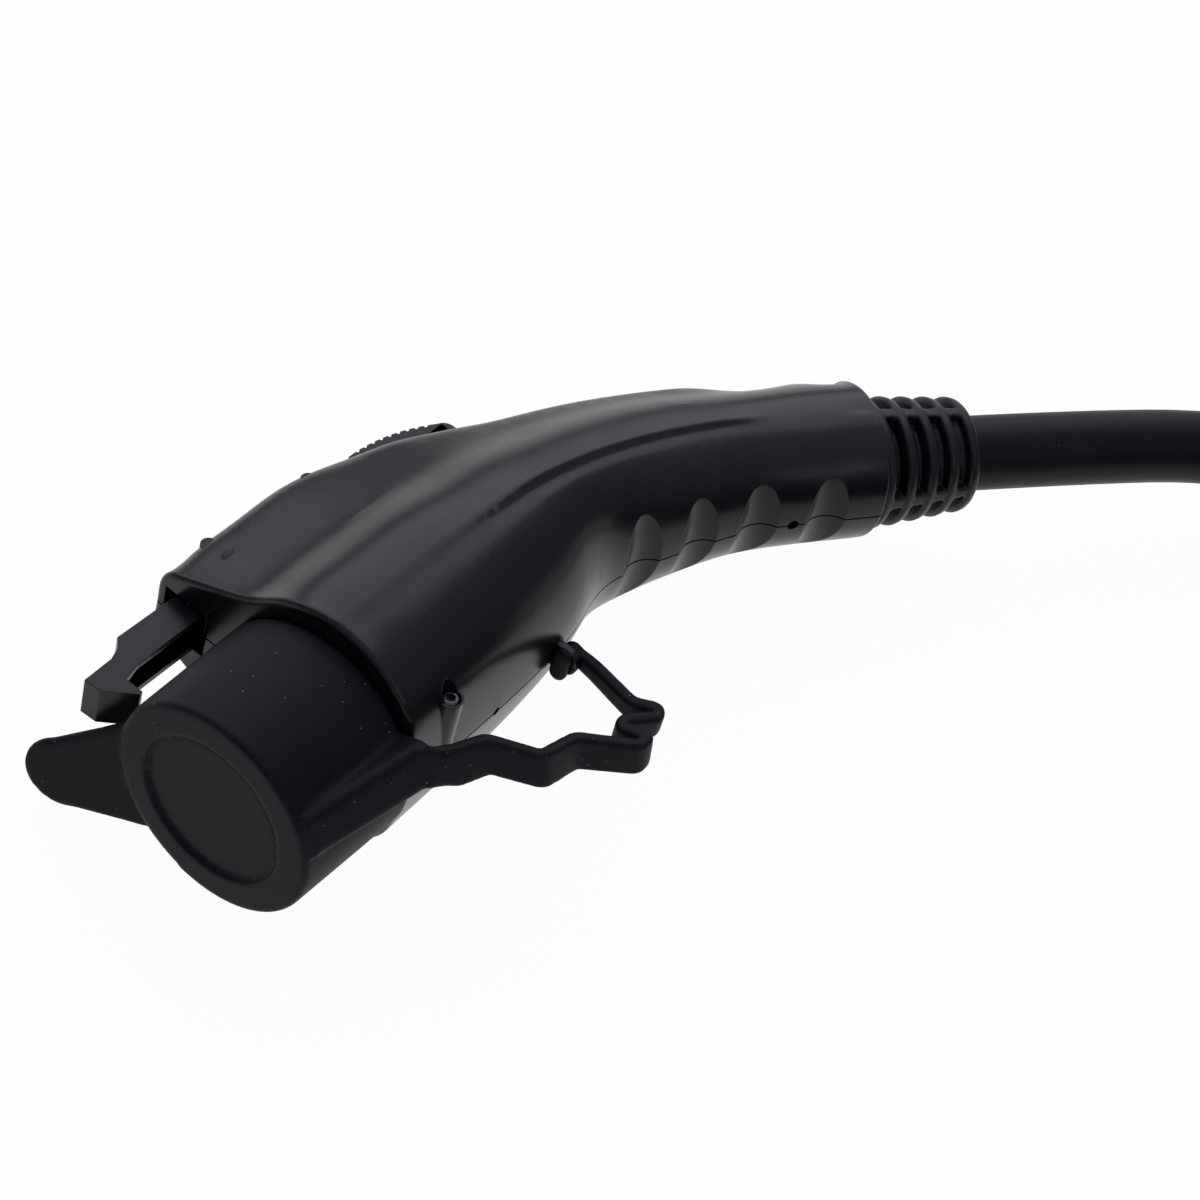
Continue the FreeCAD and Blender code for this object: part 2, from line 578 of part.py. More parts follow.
def make_contact(label, kind, across, along):
    body = new_body(label)
    bore = f"sizes.{kind}_bore"
    tube = f"sizes.{kind}_tube"
    turn_profile(body, [
        ("sizes.crimp_end", "0"),
        ("sizes.crimp_end", f"{tube} - 0.2"),
        ("sizes.collar_back", f"{tube} - 0.2"),
        ("sizes.collar_back", f"sizes.{kind}_collar"),
        ("sizes.collar_front", f"sizes.{kind}_collar"),
        ("sizes.collar_front", tube),
        ("sizes.contact_front - 0.5", tube),
        ("sizes.contact_front", f"{tube} - 0.5"),
        ("sizes.contact_front", bore),
        ("sizes.contact_bore_end", bore),
        ("sizes.contact_bore_end", "0"),
    ], label + "_turn")
    slits = (("XY_Plane", "flat"), ("XZ_Plane", "upright"))
    for role, turn in slits[:1] if kind == "pilot" else slits:
        slit = new_sketch(body, role, f"{label}_{turn}_slit")
        start = "sizes.contact_front - sizes.slit_length"
        end = "sizes.contact_front + 1"
        half = "sizes.contact_slit / 2"
        add_outline(slit, [(start, f"-{half}"), (end, f"-{half}"), (end, half), (start, half)])
        pocket(body, slit, f"{label}_{turn}_cut", f"2 * {tube} + 2", middle=True)
    body.setExpression("Placement.Base.y", across)
    body.setExpression("Placement.Base.z", along)
    keep(body)


def make_retainer():
    body = new_body("contact_retainer")
    sketch = new_sketch(body, "YZ_Plane", "retainer_sketch", "sizes.barrel_rear - sizes.retainer_thickness")
    add_circle(sketch, "0", "0", "sizes.retainer_radius")
    for kind, across, along in CONTACT_PLACES:
        add_circle(sketch, across, along, f"sizes.{kind}_tube + sizes.contact_gap - 0.2")
    for up in ("0", "-sizes.retainer_screw_up"):
        add_circle(sketch, up, "0", "sizes.retainer_screw + sizes.screw_gap")
    pad(body, sketch, "retainer_plate", "sizes.retainer_thickness")
    keep(body)
    screws = []
    for up in (0, sheet.retainer_screw_up):
        one = screw(sheet.retainer_screw, sheet.retainer_screw_length, 2.3, 1.6)
        seat = sheet.barrel_rear - sheet.retainer_thickness
        one.Placement = Placement(Vector(seat, -up, 0), Rotation(Vector(0, 0, 1), 180))
        screws.append(one)
    keep(shaped("retainer_screws", Part.Compound(screws)))


def make_barrel_seal():
    seal = doc.addObject("Part::Torus", "barrel_seal")
    seal.Label = "barrel_seal"
    seal.setExpression("Radius1", "(sizes.barrel_rear_radius + sizes.rib_bore) / 2")
    seal.setExpression("Radius2", "sizes.seal_tube")
    seal.Placement = Placement(Vector(0, 0, 0), Rotation(Vector(0, 1, 0), 90))
    seal.setExpression("Placement.Base.x", "(sizes.rib_front + sizes.rib_back) / 2")
    keep(seal)


def make_dust_cap():
    body = new_body("cap_cup")
    bore = "sizes.barrel_radius + sizes.cap_bore_gap"
    floor = "sizes.barrel_front + sizes.cap_seat_gap"
    turn_profile(body, [
        (floor, "0"),
        (floor, bore),
        ("sizes.cap_rim", bore),
        ("sizes.cap_rim", "sizes.cap_rim_radius"),
        ("sizes.cap_front", "sizes.cap_front_radius"),
        ("sizes.cap_front", "0"),
    ], "cap_turn_shape")
    recess = new_sketch(body, "YZ_Plane", "cap_recess_sketch", "sizes.cap_front")
    add_circle(recess, "0", "0", "sizes.cap_recess_radius")
    recessed = pocket(body, recess, "cap_recess", "sizes.cap_recess_depth")
    doc.recompute()
    edge_names = []
    for number, edge in enumerate(body.Shape.Edges, 1):
        low = edge.BoundBox
        flat = low.XMax - low.XMin < 0.01 and abs(low.XMax - sheet.cap_front) < 0.01
        if flat and low.YMax > sheet.cap_front_radius - 0.1:
            edge_names.append(f"Edge{number}")
    rounding = body.newObject("PartDesign::Fillet", "cap_edge_round")
    rounding.Base = (recessed, edge_names)
    rounding.setExpression("Radius", "sizes.cap_edge")
    rib = new_sketch(body, "XY_Plane", "cap_rib_sketch")
    root = "sizes.cap_front_radius - 1"
    add_outline(rib, [
        ("sizes.cap_rim", root),
        ("sizes.cap_front - 2 * sizes.cap_edge", root),
        ("sizes.cap_front - 2 * sizes.cap_edge", "sizes.cap_rib_front"),
        ("sizes.cap_rim", "sizes.cap_rib_rim"),
    ])
    pad(body, rib, "cap_rib", "sizes.cap_rib_width", middle=True)
    doc.recompute()
    cap = body.Shape.fuse(pull_tab())
    turn = Placement(Vector(0, 0, 0), Rotation(Vector(1, 0, 0), sheet.cap_turn))
    keep(shaped("dust_cap", cap.removeSplitter(), turn))


# The cap's pull tab, drawn towards -Y: a round-ended tongue that leans forward from the cap's edge
def pull_tab():
    root = sheet.tab_root
    wide = sheet.tab_root_half_width
    narrow = sheet.tab_tip_half_width
    shoulder = sheet.tab_reach - narrow
    outline = Part.Wire([
        Part.makeLine(Vector(0, -root, -wide), Vector(0, -root, wide)),
        Part.makeLine(Vector(0, -root, wide), Vector(0, -shoulder, narrow)),
        Part.Arc(Vector(0, -shoulder, narrow), Vector(0, -sheet.tab_reach, 0),
                 Vector(0, -shoulder, -narrow)).toShape(),
        Part.makeLine(Vector(0, -shoulder, -narrow), Vector(0, -root, -wide)),
    ])
    tongue = Part.Face(outline).extrude(Vector(sheet.cap_front + 20, 0, 0))
    base = sheet.tab_root_front
    tip = sheet.tab_tip_front
    thick = sheet.tab_thickness
    corners = [(base - thick, -root), (base, -root), (tip, -sheet.tab_reach), (tip - thick, -sheet.tab_reach)]
    points = [Vector(x, y, -40) for x, y in corners]
    slab = Part.Face(Part.makePolygon(points + points[:1])).extrude(Vector(0, 0, 80))
    tab = tongue.common(slab)
    tab = tab.cut(cylinder(sheet.barrel_radius + sheet.cap_bore_gap, Vector(0, 0, 0),
                           Vector(sheet.barrel_front + sheet.cap_seat_gap, 0, 0)))
    tab.rotate(Vector(0, 0, 0), Vector(1, 0, 0), sheet.tab_turn)
    return tab


# Route of the strap's middle line: along X, then how far under the barrel's axis, then to the left
STRAP_ROUTE = [
    (-0.5, 27.4, 13.6), (-4.8, 30.8, 11.5), (-13.4, 33.1, 10), (-19.9, 42.8, 8.3), (-30, 44, 6.8),
    (-39.6, 53.9, 5.4), (-43.4, 53.4, 4.9), (-41.8, 47.4, 4), (-44.6, 46, 3.5), (-51.6, 50.3, 2.5),
    (-54.4, 48.6, 2), (-51.9, 43, 1.2), (-53.3, 36, 0.5), (-56.1, 30.4, 0), (-56.2, 26, 0),
]


def make_strap():
    points = [Vector(*place) for place in STRAP_ROUTE]
    count = len(points)
    wires = []
    for turn, point in enumerate(points):
        share = turn / (count - 1)
        lean = math.radians(sheet.cap_turn) * max(0, 1 - share * 1.6)
        across = Vector(0, -math.sin(lean), math.cos(lean))
        before = point - points[max(turn - 1, 0)]
        after = points[min(turn + 1, count - 1)] - point
        if turn == 0:
            before = after = Vector(-1, 0, 0)
        if turn == count - 1:
            after = Vector(0, -1, 0)
        before = across.cross(before).normalize()
        after = across.cross(after).normalize()
        out = (before + after).normalize()
        out = out * (sheet.strap_thickness / 2 / max(out.dot(before), 0.5))
        taper = share ** sheet.strap_taper
        width = sheet.strap_root_width + (sheet.strap_end_width - sheet.strap_root_width) * taper
        side = across * (width / 2)
        corners = [point + side + out, point - side + out, point - side - out, point + side - out]
        wires.append(Part.makePolygon(corners + corners[:1]))
    band = Part.makeLoft(wires, True, True)
    keep(shaped("cap_strap", band.multiFuse(strap_plug())))


# The strap's end: a knob, a neck through the eye, and a cross bar that holds it in front
def strap_plug():
    half = sheet.eye_thickness / 2 + sheet.plug_gap
    middle = sheet.eye_place
    depth = sheet.eye_depth
    tail = middle - half - sheet.plug_knob_length
    front = middle + half + sheet.plug_bar_thickness
    knob = cylinder(sheet.plug_knob, Vector(tail, depth, 0), Vector(middle - half, depth, 0))
    neck = cylinder(sheet.plug_neck, Vector(middle - half, depth, 0), Vector(middle + half, depth, 0))
    radius = sheet.plug_bar_radius
    side = sheet.plug_bar_half - radius
    bar = box((middle + half, depth - radius, -side), (front, depth + radius, side))
    ends = []
    for place in (side, -side):
        ends.append(cylinder(radius, Vector(middle + half, depth, place), Vector(front, depth, place)))
    return [knob, neck, bar, *ends]


def make_latch_lever():
    body = new_body("latch_lever")
    side = new_sketch(body, "XY_Plane", "lever_sketch")
    hub = "sizes.hub_radius"
    add_outline(side, [
        ("sizes.latch_tip", "-sizes.latch_tip_top"),
        ("sizes.latch_tip - 0.2", "-sizes.latch_tip_floor"),
        ("sizes.hook_place + 0.9", "-sizes.hook_reach"),
        ("sizes.hook_place", "-sizes.hook_reach - 0.2"),
        ("sizes.hook_place", "-sizes.hook_root"),
        ("sizes.arm_step", "-sizes.arm_floor"),
        ("sizes.pivot_place + sizes.hub_radius", "-sizes.arm_floor"),
        (f"sizes.pivot_place + {hub}", f"-sizes.pivot_up + {hub}"),
        (f"sizes.pivot_place - {hub}", f"-sizes.pivot_up + {hub}"),
        ("sizes.rear_arm_bend", "-sizes.rear_arm_bend_top + sizes.rear_arm_thickness"),
        ("sizes.rear_arm_end", "-sizes.rear_arm_end_top + sizes.rear_arm_thickness"),
        ("sizes.rear_arm_end", "-sizes.rear_arm_end_top"),
        ("sizes.rear_arm_bend", "-sizes.rear_arm_bend_top"),
        (f"sizes.pivot_place - {hub}", f"-sizes.pivot_up - {hub} + 0.4"),
        (f"sizes.pivot_place + {hub}", f"-sizes.pivot_up - {hub}"),
        ("0.5", "-sizes.arm_top + 0.3"),
        ("sizes.arm_step - 2", "-sizes.arm_top"),
        ("sizes.arm_step", "-sizes.arm_step_top"),
        ("sizes.arm_step + 3", "-sizes.latch_tip_top - 0.2"),
    ])
    pad(body, side, "lever_pad", "2 * sizes.latch_half_width", middle=True)
    channel = new_sketch(body, "XY_Plane", "channel_sketch")
    roof = "sizes.latch_wall"
    add_outline(channel, [
        ("sizes.hook_place - 1", "-sizes.hook_reach"),
        ("sizes.hook_place - 1", f"-sizes.latch_tip_top + {roof}"),
        ("sizes.arm_step + 2", f"-sizes.latch_tip_top + {roof} - 0.1"),
        ("sizes.arm_step - 0.6", f"-sizes.arm_step_top + {roof} - 0.2"),
        ("sizes.arm_step - 2.6", f"-sizes.arm_top + {roof}"),
        ("-3", f"-sizes.arm_top + {roof} + 1.2"),
        ("-3", "-sizes.hook_reach"),
    ])
    pocket(body, channel, "lever_channel", "2 * (sizes.latch_half_width - sizes.latch_wall)", middle=True)
    hole = new_sketch(body, "XY_Plane", "pivot_sketch")
    add_circle(hole, "sizes.pivot_place", "-sizes.pivot_up", "sizes.pivot_pin_radius + sizes.pivot_gap")
    pocket(body, hole, "pivot_hole", "2 * sizes.latch_half_width + 2", middle=True)
    keep(body)
    pin = doc.addObject("Part::Cylinder", "latch_pivot_pin")
    pin.Label = "latch_pivot_pin"
    pin.setExpression("Radius", "sizes.pivot_pin_radius")
    pin.setExpression("Height", "2 * sizes.pivot_pin_reach")
    pin.setExpression("Placement.Base.x", "sizes.pivot_place")
    pin.setExpression("Placement.Base.y", "-sizes.pivot_up")
    pin.setExpression("Placement.Base.z", "-sizes.pivot_pin_reach")
    keep(pin)


# The thumb button: a block on the lever's rear arm, falling to the rear, grooved across its top and
# cut back at its rear sides
def make_button():
    front = sheet.button_front
    rear = sheet.button_rear
    top = sheet.button_height
    arm_end = sheet.rear_arm_end_top
    slope = (sheet.rear_arm_bend_top - arm_end) / (sheet.rear_arm_bend - sheet.rear_arm_end)
    seat_front = arm_end + slope * (front - sheet.rear_arm_end)
    seat_rear = arm_end + slope * (rear - sheet.rear_arm_end)
    crest = Vector((front + rear) / 2, -sheet.button_crest, 0)
    high = -sheet.button_rear_height
    profile = Part.Wire([
        Part.makeLine(Vector(rear, -seat_rear, 0), Vector(front, -seat_front, 0)),
        Part.makeLine(Vector(front, -seat_front, 0), Vector(front, -top, 0)),
        Part.Arc(Vector(front, -top, 0), crest, Vector(rear + 2.2, high, 0)).toShape(),
        Part.Arc(Vector(rear + 2.2, high, 0), Vector(rear + 0.5, high + 1.2, 0),
                 Vector(rear, high + 3, 0)).toShape(),
        Part.makeLine(Vector(rear, high + 3, 0), Vector(rear, -seat_rear, 0)),
    ])
    half = sheet.button_half_width
    block = Part.Face(profile).extrude(Vector(0, 0, 2 * half))
    block.translate(Vector(0, 0, -half))
    arc = profile.Edges[2]
    cuts = []
    for turn in range(int(sheet.button_groove_count)):
        place = arc.getParameterByLength(3 + turn * sheet.button_groove_pitch)
        spot = arc.valueAt(place)
        cuts.append(cylinder(sheet.button_groove, Vector(spot.x, spot.y, -half - 1),
                             Vector(spot.x, spot.y, half + 1)))
    for side in (1, -1):
        inner = side * (half - sheet.button_side_step)
        outer = side * (half + 1)
        cuts.append(box((rear + 1.6, high + 0.6, min(inner, outer)), (rear + 9, high + 2.4, max(inner, outer))))
    block = block.cut(cuts[0].multiFuse(cuts[1:]))
    keep(shaped("release_button", block))


def make_latch_spring():
    slope = (sheet.rear_arm_bend_top - sheet.rear_arm_end_top) / (sheet.rear_arm_bend - sheet.rear_arm_end)
    under = (sheet.rear_arm_end_top + slope * (sheet.spring_place - sheet.rear_arm_end)
             - sheet.rear_arm_thickness)
    wire = sheet.spring_wire
    height = under - sheet.spring_seat - 2 * wire - sheet.spring_gap - 1.2
    helix = Part.makeHelix(sheet.spring_pitch, height, sheet.spring_radius)
    corners = []
    for turn in range(7):
        angle = math.radians(60 * turn)
        corners.append(Vector(sheet.spring_radius + wire * math.cos(angle), 0, wire * math.sin(angle)))
    coil = Part.Wire(helix.Edges).makePipeShell([Part.makePolygon(corners)], True, True)
    stand = Placement(Vector(sheet.spring_place, -sheet.spring_seat - wire - 0.05, 0),
                      Rotation(Vector(0, 0, 1), Vector(0, -1, 0)))
    keep(shaped("latch_spring", coil, stand))


def make_switch():
    top = -sheet.board_up - sheet.board_thickness
    half = sheet.switch_half_width
    place = sheet.switch_place
    length = sheet.switch_length / 2
    case = box((place - length, top - sheet.switch_height, -half), (place + length, top, half))
    bore = sheet.plunger_radius + sheet.plunger_bore_gap
    mouth = top - sheet.switch_height
    case = case.cut(cylinder(bore, Vector(place, mouth - 1, 0), Vector(place, mouth + sheet.plunger_bore, 0)))
    keep(shaped("switch_case", case))
    drop = (sheet.pivot_up - sheet.hub_radius) - (sheet.rear_arm_bend_top - sheet.rear_arm_thickness)
    run = sheet.pivot_place - sheet.hub_radius - sheet.rear_arm_bend
    along = sheet.pivot_place - sheet.hub_radius - place
    tip = -(sheet.pivot_up - sheet.hub_radius - drop * along / run) + sheet.plunger_gap
    keep(shaped("switch_plunger", cylinder(sheet.plunger_radius, Vector(place, tip, 0),
                                           Vector(place, tip + sheet.plunger_length, 0))))


def make_board():
    half = sheet.board_half_width
    top = -sheet.board_up
    rear = sheet.board_rear
    thick = sheet.board_thickness
    board = box((rear, top - thick, -half), (sheet.board_front, top, half))
    parts = []
    for side, place in ((6.2, -42), (-6.2, -42), (6.2, -34), (-6.2, -34)):
        parts.append(box((place, top - thick - 1.4, side - 1.6), (place + 5, top - thick, side + 1.6)))
    keep(shaped("resistor_board", board.multiFuse(parts)))


def make_strain_relief():
    body = new_body("strain_relief")
    bore = "sizes.cable_radius + sizes.boot_bore_gap"
    inside = "-sizes.end_wall - sizes.boot_face_gap"
    turn_profile(body, [
        (f"{inside} - sizes.boot_flange_thickness", bore),
        (f"{inside} - sizes.boot_flange_thickness", "sizes.boot_flange"),
        (inside, "sizes.boot_flange"),
        (inside, "sizes.boot_neck"),
        ("sizes.boot_face_gap", "sizes.boot_neck"),
        ("sizes.boot_face_gap", "sizes.boot_radius"),
        ("sizes.boot_length", "sizes.boot_tip_radius"),
        ("sizes.boot_length", bore),
    ], "boot_turn")
    windows = new_sketch(body, "XY_Plane", "window_sketch")
    rings = int(sheet.boot_rings)
    ring = "((sizes.boot_length - (sizes.boot_rings - 1) * sizes.boot_gap) / sizes.boot_rings)"
    for turn in range(1, rings):
        start = f"{turn} * {ring} + {turn - 1} * sizes.boot_gap"
        end = f"{start} + sizes.boot_gap"
        reach = "sizes.boot_radius + 2"
        add_outline(windows, [(start, "sizes.boot_sleeve"), (end, "sizes.boot_sleeve"),
                              (end, reach), (start, reach)])
    groove = body.newObject("PartDesign::Groove", "boot_windows")
    groove.Profile = windows
    groove.ReferenceAxis = (windows, ["H_Axis"])
    groove.setExpression("Angle", "sizes.boot_window")
    groove.Midplane = True
    doc.recompute()
    around = body.newObject("PartDesign::PolarPattern", "boot_windows_around")
    around.Originals = [groove]
    around.Axis = (windows, ["H_Axis"])
    around.Angle = 360
    around.Occurrences = 4
    body.Tip = around
    body.Placement = handle_end() * Placement(Vector(0, 0, 0), Rotation(Vector(1, 0, 0), sheet.boot_turn))
    keep(body)


# The saddle clamp on the cable's jacket: two half rings with flats, drawn about +X at the handle's end
def make_clamp():
    bore = sheet.cable_radius + sheet.clamp_bore_gap
    near = -sheet.clamp_near
    far = -sheet.clamp_far
    ring = cylinder(sheet.clamp_radius, Vector(far, 0, 0), Vector(near, 0, 0))
    ring = ring.cut(cylinder(bore, Vector(far - 1, 0, 0), Vector(near + 1, 0, 0)))
    high = sheet.clamp_half_height
    middle = (near + far) / 2
    side = sheet.clamp_screw_side
    shank = sheet.clamp_screw + sheet.screw_gap
    seat = high - sheet.clamp_screw_sink
    screws = []
    for place in (side, -side):
        tip = seat - sheet.clamp_screw_length - 0.3
        ring = ring.cut(cylinder(shank, Vector(middle, tip, place), Vector(middle, high + 9, place)))
        ring = ring.cut(cylinder(sheet.clamp_screw_head + 0.2, Vector(middle, seat, place),
                                 Vector(middle, high + 9, place)))
        length = sheet.clamp_screw_length
        one = screw(sheet.clamp_screw, length, sheet.clamp_screw_head, sheet.clamp_screw_height)
        one.Placement = Placement(Vector(middle, seat, place), Rotation(Vector(1, 0, 0), Vector(0, 1, 0)))
        screws.append(one)
    gap = sheet.clamp_split / 2
    reach = 30
    top = ring.common(box((far, gap, -reach), (near, high, reach)))
    base = ring.common(box((far, -high, -reach), (near, -gap, reach)))
    keep(shaped("cord_clamp_top", top, handle_end()))
    keep(shaped("cord_clamp_base", base, handle_end()))
    keep(shaped("clamp_screws", Part.Compound(screws), handle_end()))


# Straight runs joined by tangent arcs, each arc as large as its two runs allow
def route_wire(points, name):
    edges = []
    start = points[0]
    for before, corner, after in zip(points, points[1:], points[2:]):
        into = before - corner
        out = after - corner
        turn = math.pi - into.getAngle(out)
        shorter = min(into.Length, out.Length)
        radius = 0.45 * shorter / math.tan(turn / 2)
        trim = 0.45 * shorter
        first = corner + into * (trim / into.Length)
        last = corner + out * (trim / out.Length)
        bisector = (into.normalize() + out.normalize()).normalize()
        middle = corner + bisector * (radius / math.cos(turn / 2) - radius)
        edges.append(Part.LineSegment(start, first).toShape())
        edges.append(Part.Arc(first, middle, last).toShape())
        start = last
        print(f"{name}: turn {math.degrees(turn):.1f} degrees, radius {radius:.0f} mm")
    edges.append(Part.LineSegment(start, points[-1]).toShape())
    return Part.Wire(edges)


def tube(points, radius, name):
    path = route_wire(points, name)
    circle = Part.makeCircle(radius, points[0], points[1] - points[0])
    solid = path.makePipeShell([Part.Wire(circle)], True, False)
    expected = math.pi * radius ** 2 * path.Length
    print(f"{name}: length {path.Length:.1f} mm, volume {solid.Volume:.0f} against {expected:.0f}")
    return solid


# Where each core lies in the cable's section: up towards the latch side, and to the left
CORES = {
    "wire_line": ("power", 0, 1.65, 2.9),
    "wire_neutral": ("power", 1, 1.65, -2.9),
    "wire_earth": ("power", 2, -3.3, 0),
    "wire_pilot": ("pilot", 3, -2.9, 5.4),
    "wire_proximity": ("pilot", 4, -2.9, -5.4),
}


def make_wires():
    end = spine_length() - sheet.jacket_start
    for label, (kind, number, up_end, left_end) in CORES.items():
        _, across, along = CONTACT_PLACES[number]
        up_start = -amount_of(across)
        left_start = amount_of(along)
        radius = sheet.power_core if kind == "power" else sheet.pilot_core
        points = [Vector(sheet.crimp_end, -up_start, left_start)]
        first = -sheet.crimp_end
        stops = [first + (end - first) * share for share in (0.16, 0.36, 0.6, 0.82, 1)]
        for stop in stops:
            share = min(1, (stop - first) / (end - first) * 1.5 - 0.24)
            share = max(0.0, share)
            share = share * share * (3 - 2 * share)
            middle, turn = spine(stop)
            up = Vector(-math.sin(turn), -math.cos(turn), 0)
            height = up_start + (up_end - up_start) * share
            side = left_start + (left_end - left_start) * share
            points.append(middle + up * height + Vector(0, 0, side))
        keep(shaped(label, tube(points, radius, label).cut(cable_jacket_end())))


# The cable's end inside the clamp and the boot
def cable_jacket_end():
    start = handle_point(-sheet.jacket_start, 0, 0)
    return cylinder(sheet.cable_radius, start, handle_point(sheet.boot_length, 0, 0))


# The cable behind the boot, run by run: length, turn to the right in degrees, and how far it is down
CABLE_RUNS = [
    (34, 1.5, 1), (40, 0.5, 3.6), (34, 14, 8), (36, 19, 14), (40, 15, 18.8), (42, 8, 21),
    (42, 5, 21.4), (36, 2, 21.4),
]


def make_cable():
    keep(shaped("cable_end", cable_jacket_end()))
    place = handle_point(sheet.boot_length, 0, 0)
    heading = 180 - sheet.handle_bend
    points = [place]
    for length, right, down in CABLE_RUNS:
        heading -= right
        way = Vector(math.cos(math.radians(heading)), math.sin(math.radians(heading)), 0)
        place = place + way * length
        points.append(Vector(place.x, place.y, -down))
    run = tube(points, sheet.cable_radius, "cable_run")
    keep(shaped("cable_run", run.cut(cable_jacket_end())))
    return points[-1], heading


# The put-away coil: two layers of three turns and two turns on top, as one closed ring
def make_coil(entry, heading):
    size = 2 * sheet.cable_radius
    mean = sheet.coil_mean_radius
    outer = mean + 1.5 * size
    inner = mean - 1.5 * size
    shelf = inner + size
    low = -sheet.floor_depth
    mid = low + 2 * size
    top = low + 3 * size
    corners = [(inner, low), (outer, low), (outer, top), (shelf, top), (shelf, mid), (inner, mid)]
    points = [Vector(radius, 0, height) for radius, height in corners]
    face = Part.Face(Part.makePolygon(points + points[:1]))
    ring = face.revolve(Vector(0, 0, 0), Vector(0, 0, 1), 360)
    rims = [edge for edge in ring.Edges if edge.Length > 4 * size and not same_rim(edge, shelf, mid)]
    ring = ring.makeFillet(sheet.coil_corner, rims)
    right = Rotation(Vector(0, 0, 1), heading - 90).multVec(Vector(1, 0, 0))
    middle = Vector(entry.x, entry.y, 0) + right * (mean + size)
    keep(shaped("cable_coil", ring, Placement(middle, Rotation())))
    return middle, mid


def same_rim(edge, radius, height):
    rim = edge.BoundBox
    return abs(rim.XMax - radius) < 0.1 and abs(rim.ZMax - height) < 0.1


# The stripped cores lie on the coil's second layer, following its curve from where the jacket ends
def make_bare_cores(middle, shelf_height, heading):
    mean = sheet.coil_mean_radius - 2 * sheet.cable_radius
    big = sheet.power_core
    small = sheet.pilot_core
    pitch = 2 * big + 0.2
    rise = math.sqrt((big + small) ** 2 - (pitch / 2) ** 2)
    spots = [(big, -pitch, 0), (big, 0, 0), (big, pitch, 0)]
    spots += [(small, -pitch / 2, rise), (small, pitch / 2, rise)]
    cores = []
    for turn, (radius, out, lift) in enumerate(spots):
        reach = mean + out
        angle = math.degrees(sheet.tail_length / mean) - turn * 1.7
        place = Vector(reach, 0, shelf_height + big + lift + 0.05)
        circle = Part.Face(Part.Wire(Part.makeCircle(radius, place, Vector(0, 1, 0))))
        cores.append(circle.revolve(Vector(0, 0, 0), Vector(0, 0, 1), -angle))
    start = Rotation(Vector(0, 0, 1), heading + 90)
    keep(shaped("bare_cores", Part.Compound(cores), Placement(middle, start)))


make_shells()
make_shell_screws()
make_nose_barrel()
labels = ["contact_line", "contact_neutral", "contact_earth", "contact_pilot", "contact_proximity"]
for label, (kind, across, along) in zip(labels, CONTACT_PLACES):
    make_contact(label, kind, across, along)
make_retainer()
make_barrel_seal()
make_dust_cap()
make_strap()
make_latch_lever()
make_button()
make_latch_spring()
make_switch()
make_board()
make_strain_relief()
make_clamp()
make_wires()
cable_place, cable_heading = make_cable()
coil_middle, coil_shelf = make_coil(cable_place, cable_heading)
make_bare_cores(coil_middle, coil_shelf, cable_heading)
doc.recompute()

for thing in doc.Objects:
    if "Invalid" in thing.State or "Error" in thing.State:
        raise RuntimeError(f"{thing.Label} failed: {thing.State}")
os.makedirs("parts", exist_ok=True)
for piece in nodes:
    shape = piece.Shape
    if shape.isNull() or not shape.isValid():
        raise RuntimeError(f"{piece.Label} has no valid shape")
    shape.exportStep(f"parts/{piece.Label}.step")
    print(f"{piece.Label}: {len(shape.Solids)} solids, {shape.Volume:.0f} mm3")
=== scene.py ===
import math

import bmesh
import bpy
from mathutils import Matrix, Vector


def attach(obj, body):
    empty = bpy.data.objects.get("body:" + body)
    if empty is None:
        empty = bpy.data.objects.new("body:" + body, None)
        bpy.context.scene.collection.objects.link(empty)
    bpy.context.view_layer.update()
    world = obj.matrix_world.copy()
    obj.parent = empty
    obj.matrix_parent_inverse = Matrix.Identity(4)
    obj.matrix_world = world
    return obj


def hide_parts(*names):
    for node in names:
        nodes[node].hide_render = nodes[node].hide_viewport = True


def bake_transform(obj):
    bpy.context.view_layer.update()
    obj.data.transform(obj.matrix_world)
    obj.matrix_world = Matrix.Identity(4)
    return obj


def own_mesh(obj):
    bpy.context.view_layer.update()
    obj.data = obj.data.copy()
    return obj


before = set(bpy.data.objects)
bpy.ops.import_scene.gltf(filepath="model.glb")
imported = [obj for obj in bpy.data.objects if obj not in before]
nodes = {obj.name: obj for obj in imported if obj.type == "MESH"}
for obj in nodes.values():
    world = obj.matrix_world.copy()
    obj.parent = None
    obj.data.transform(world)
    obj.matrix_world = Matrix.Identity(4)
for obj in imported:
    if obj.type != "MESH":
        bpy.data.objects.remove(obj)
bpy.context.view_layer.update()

# Camera: the connector is seen from its finger side and above as it lies on its right side, from
# about 0.6 m away with a long lens, with the picture's edge turned by 18 degrees to the nose.
camera_data = bpy.data.cameras.new("product_camera")
camera_data.sensor_width = 36
camera_data.lens = 87.3
camera_data.clip_start = 0.01
camera = bpy.data.objects.new("product_camera", camera_data)
bpy.context.scene.collection.objects.link(camera)
camera_place = (0.3260, 0.1940, 0.4628)
look_right = Vector((-0.590, 0.778, 0.216)).normalized()
look_back = Vector((0.628, 0.274, 0.729)).normalized()
look_up = look_back.cross(look_right).normalized()
look_right = look_up.cross(look_back)
look_turn = Matrix((look_right, look_up, look_back)).transposed().to_4x4()
camera.matrix_world = Matrix.Translation(camera_place) @ look_turn
bpy.context.scene.camera = camera

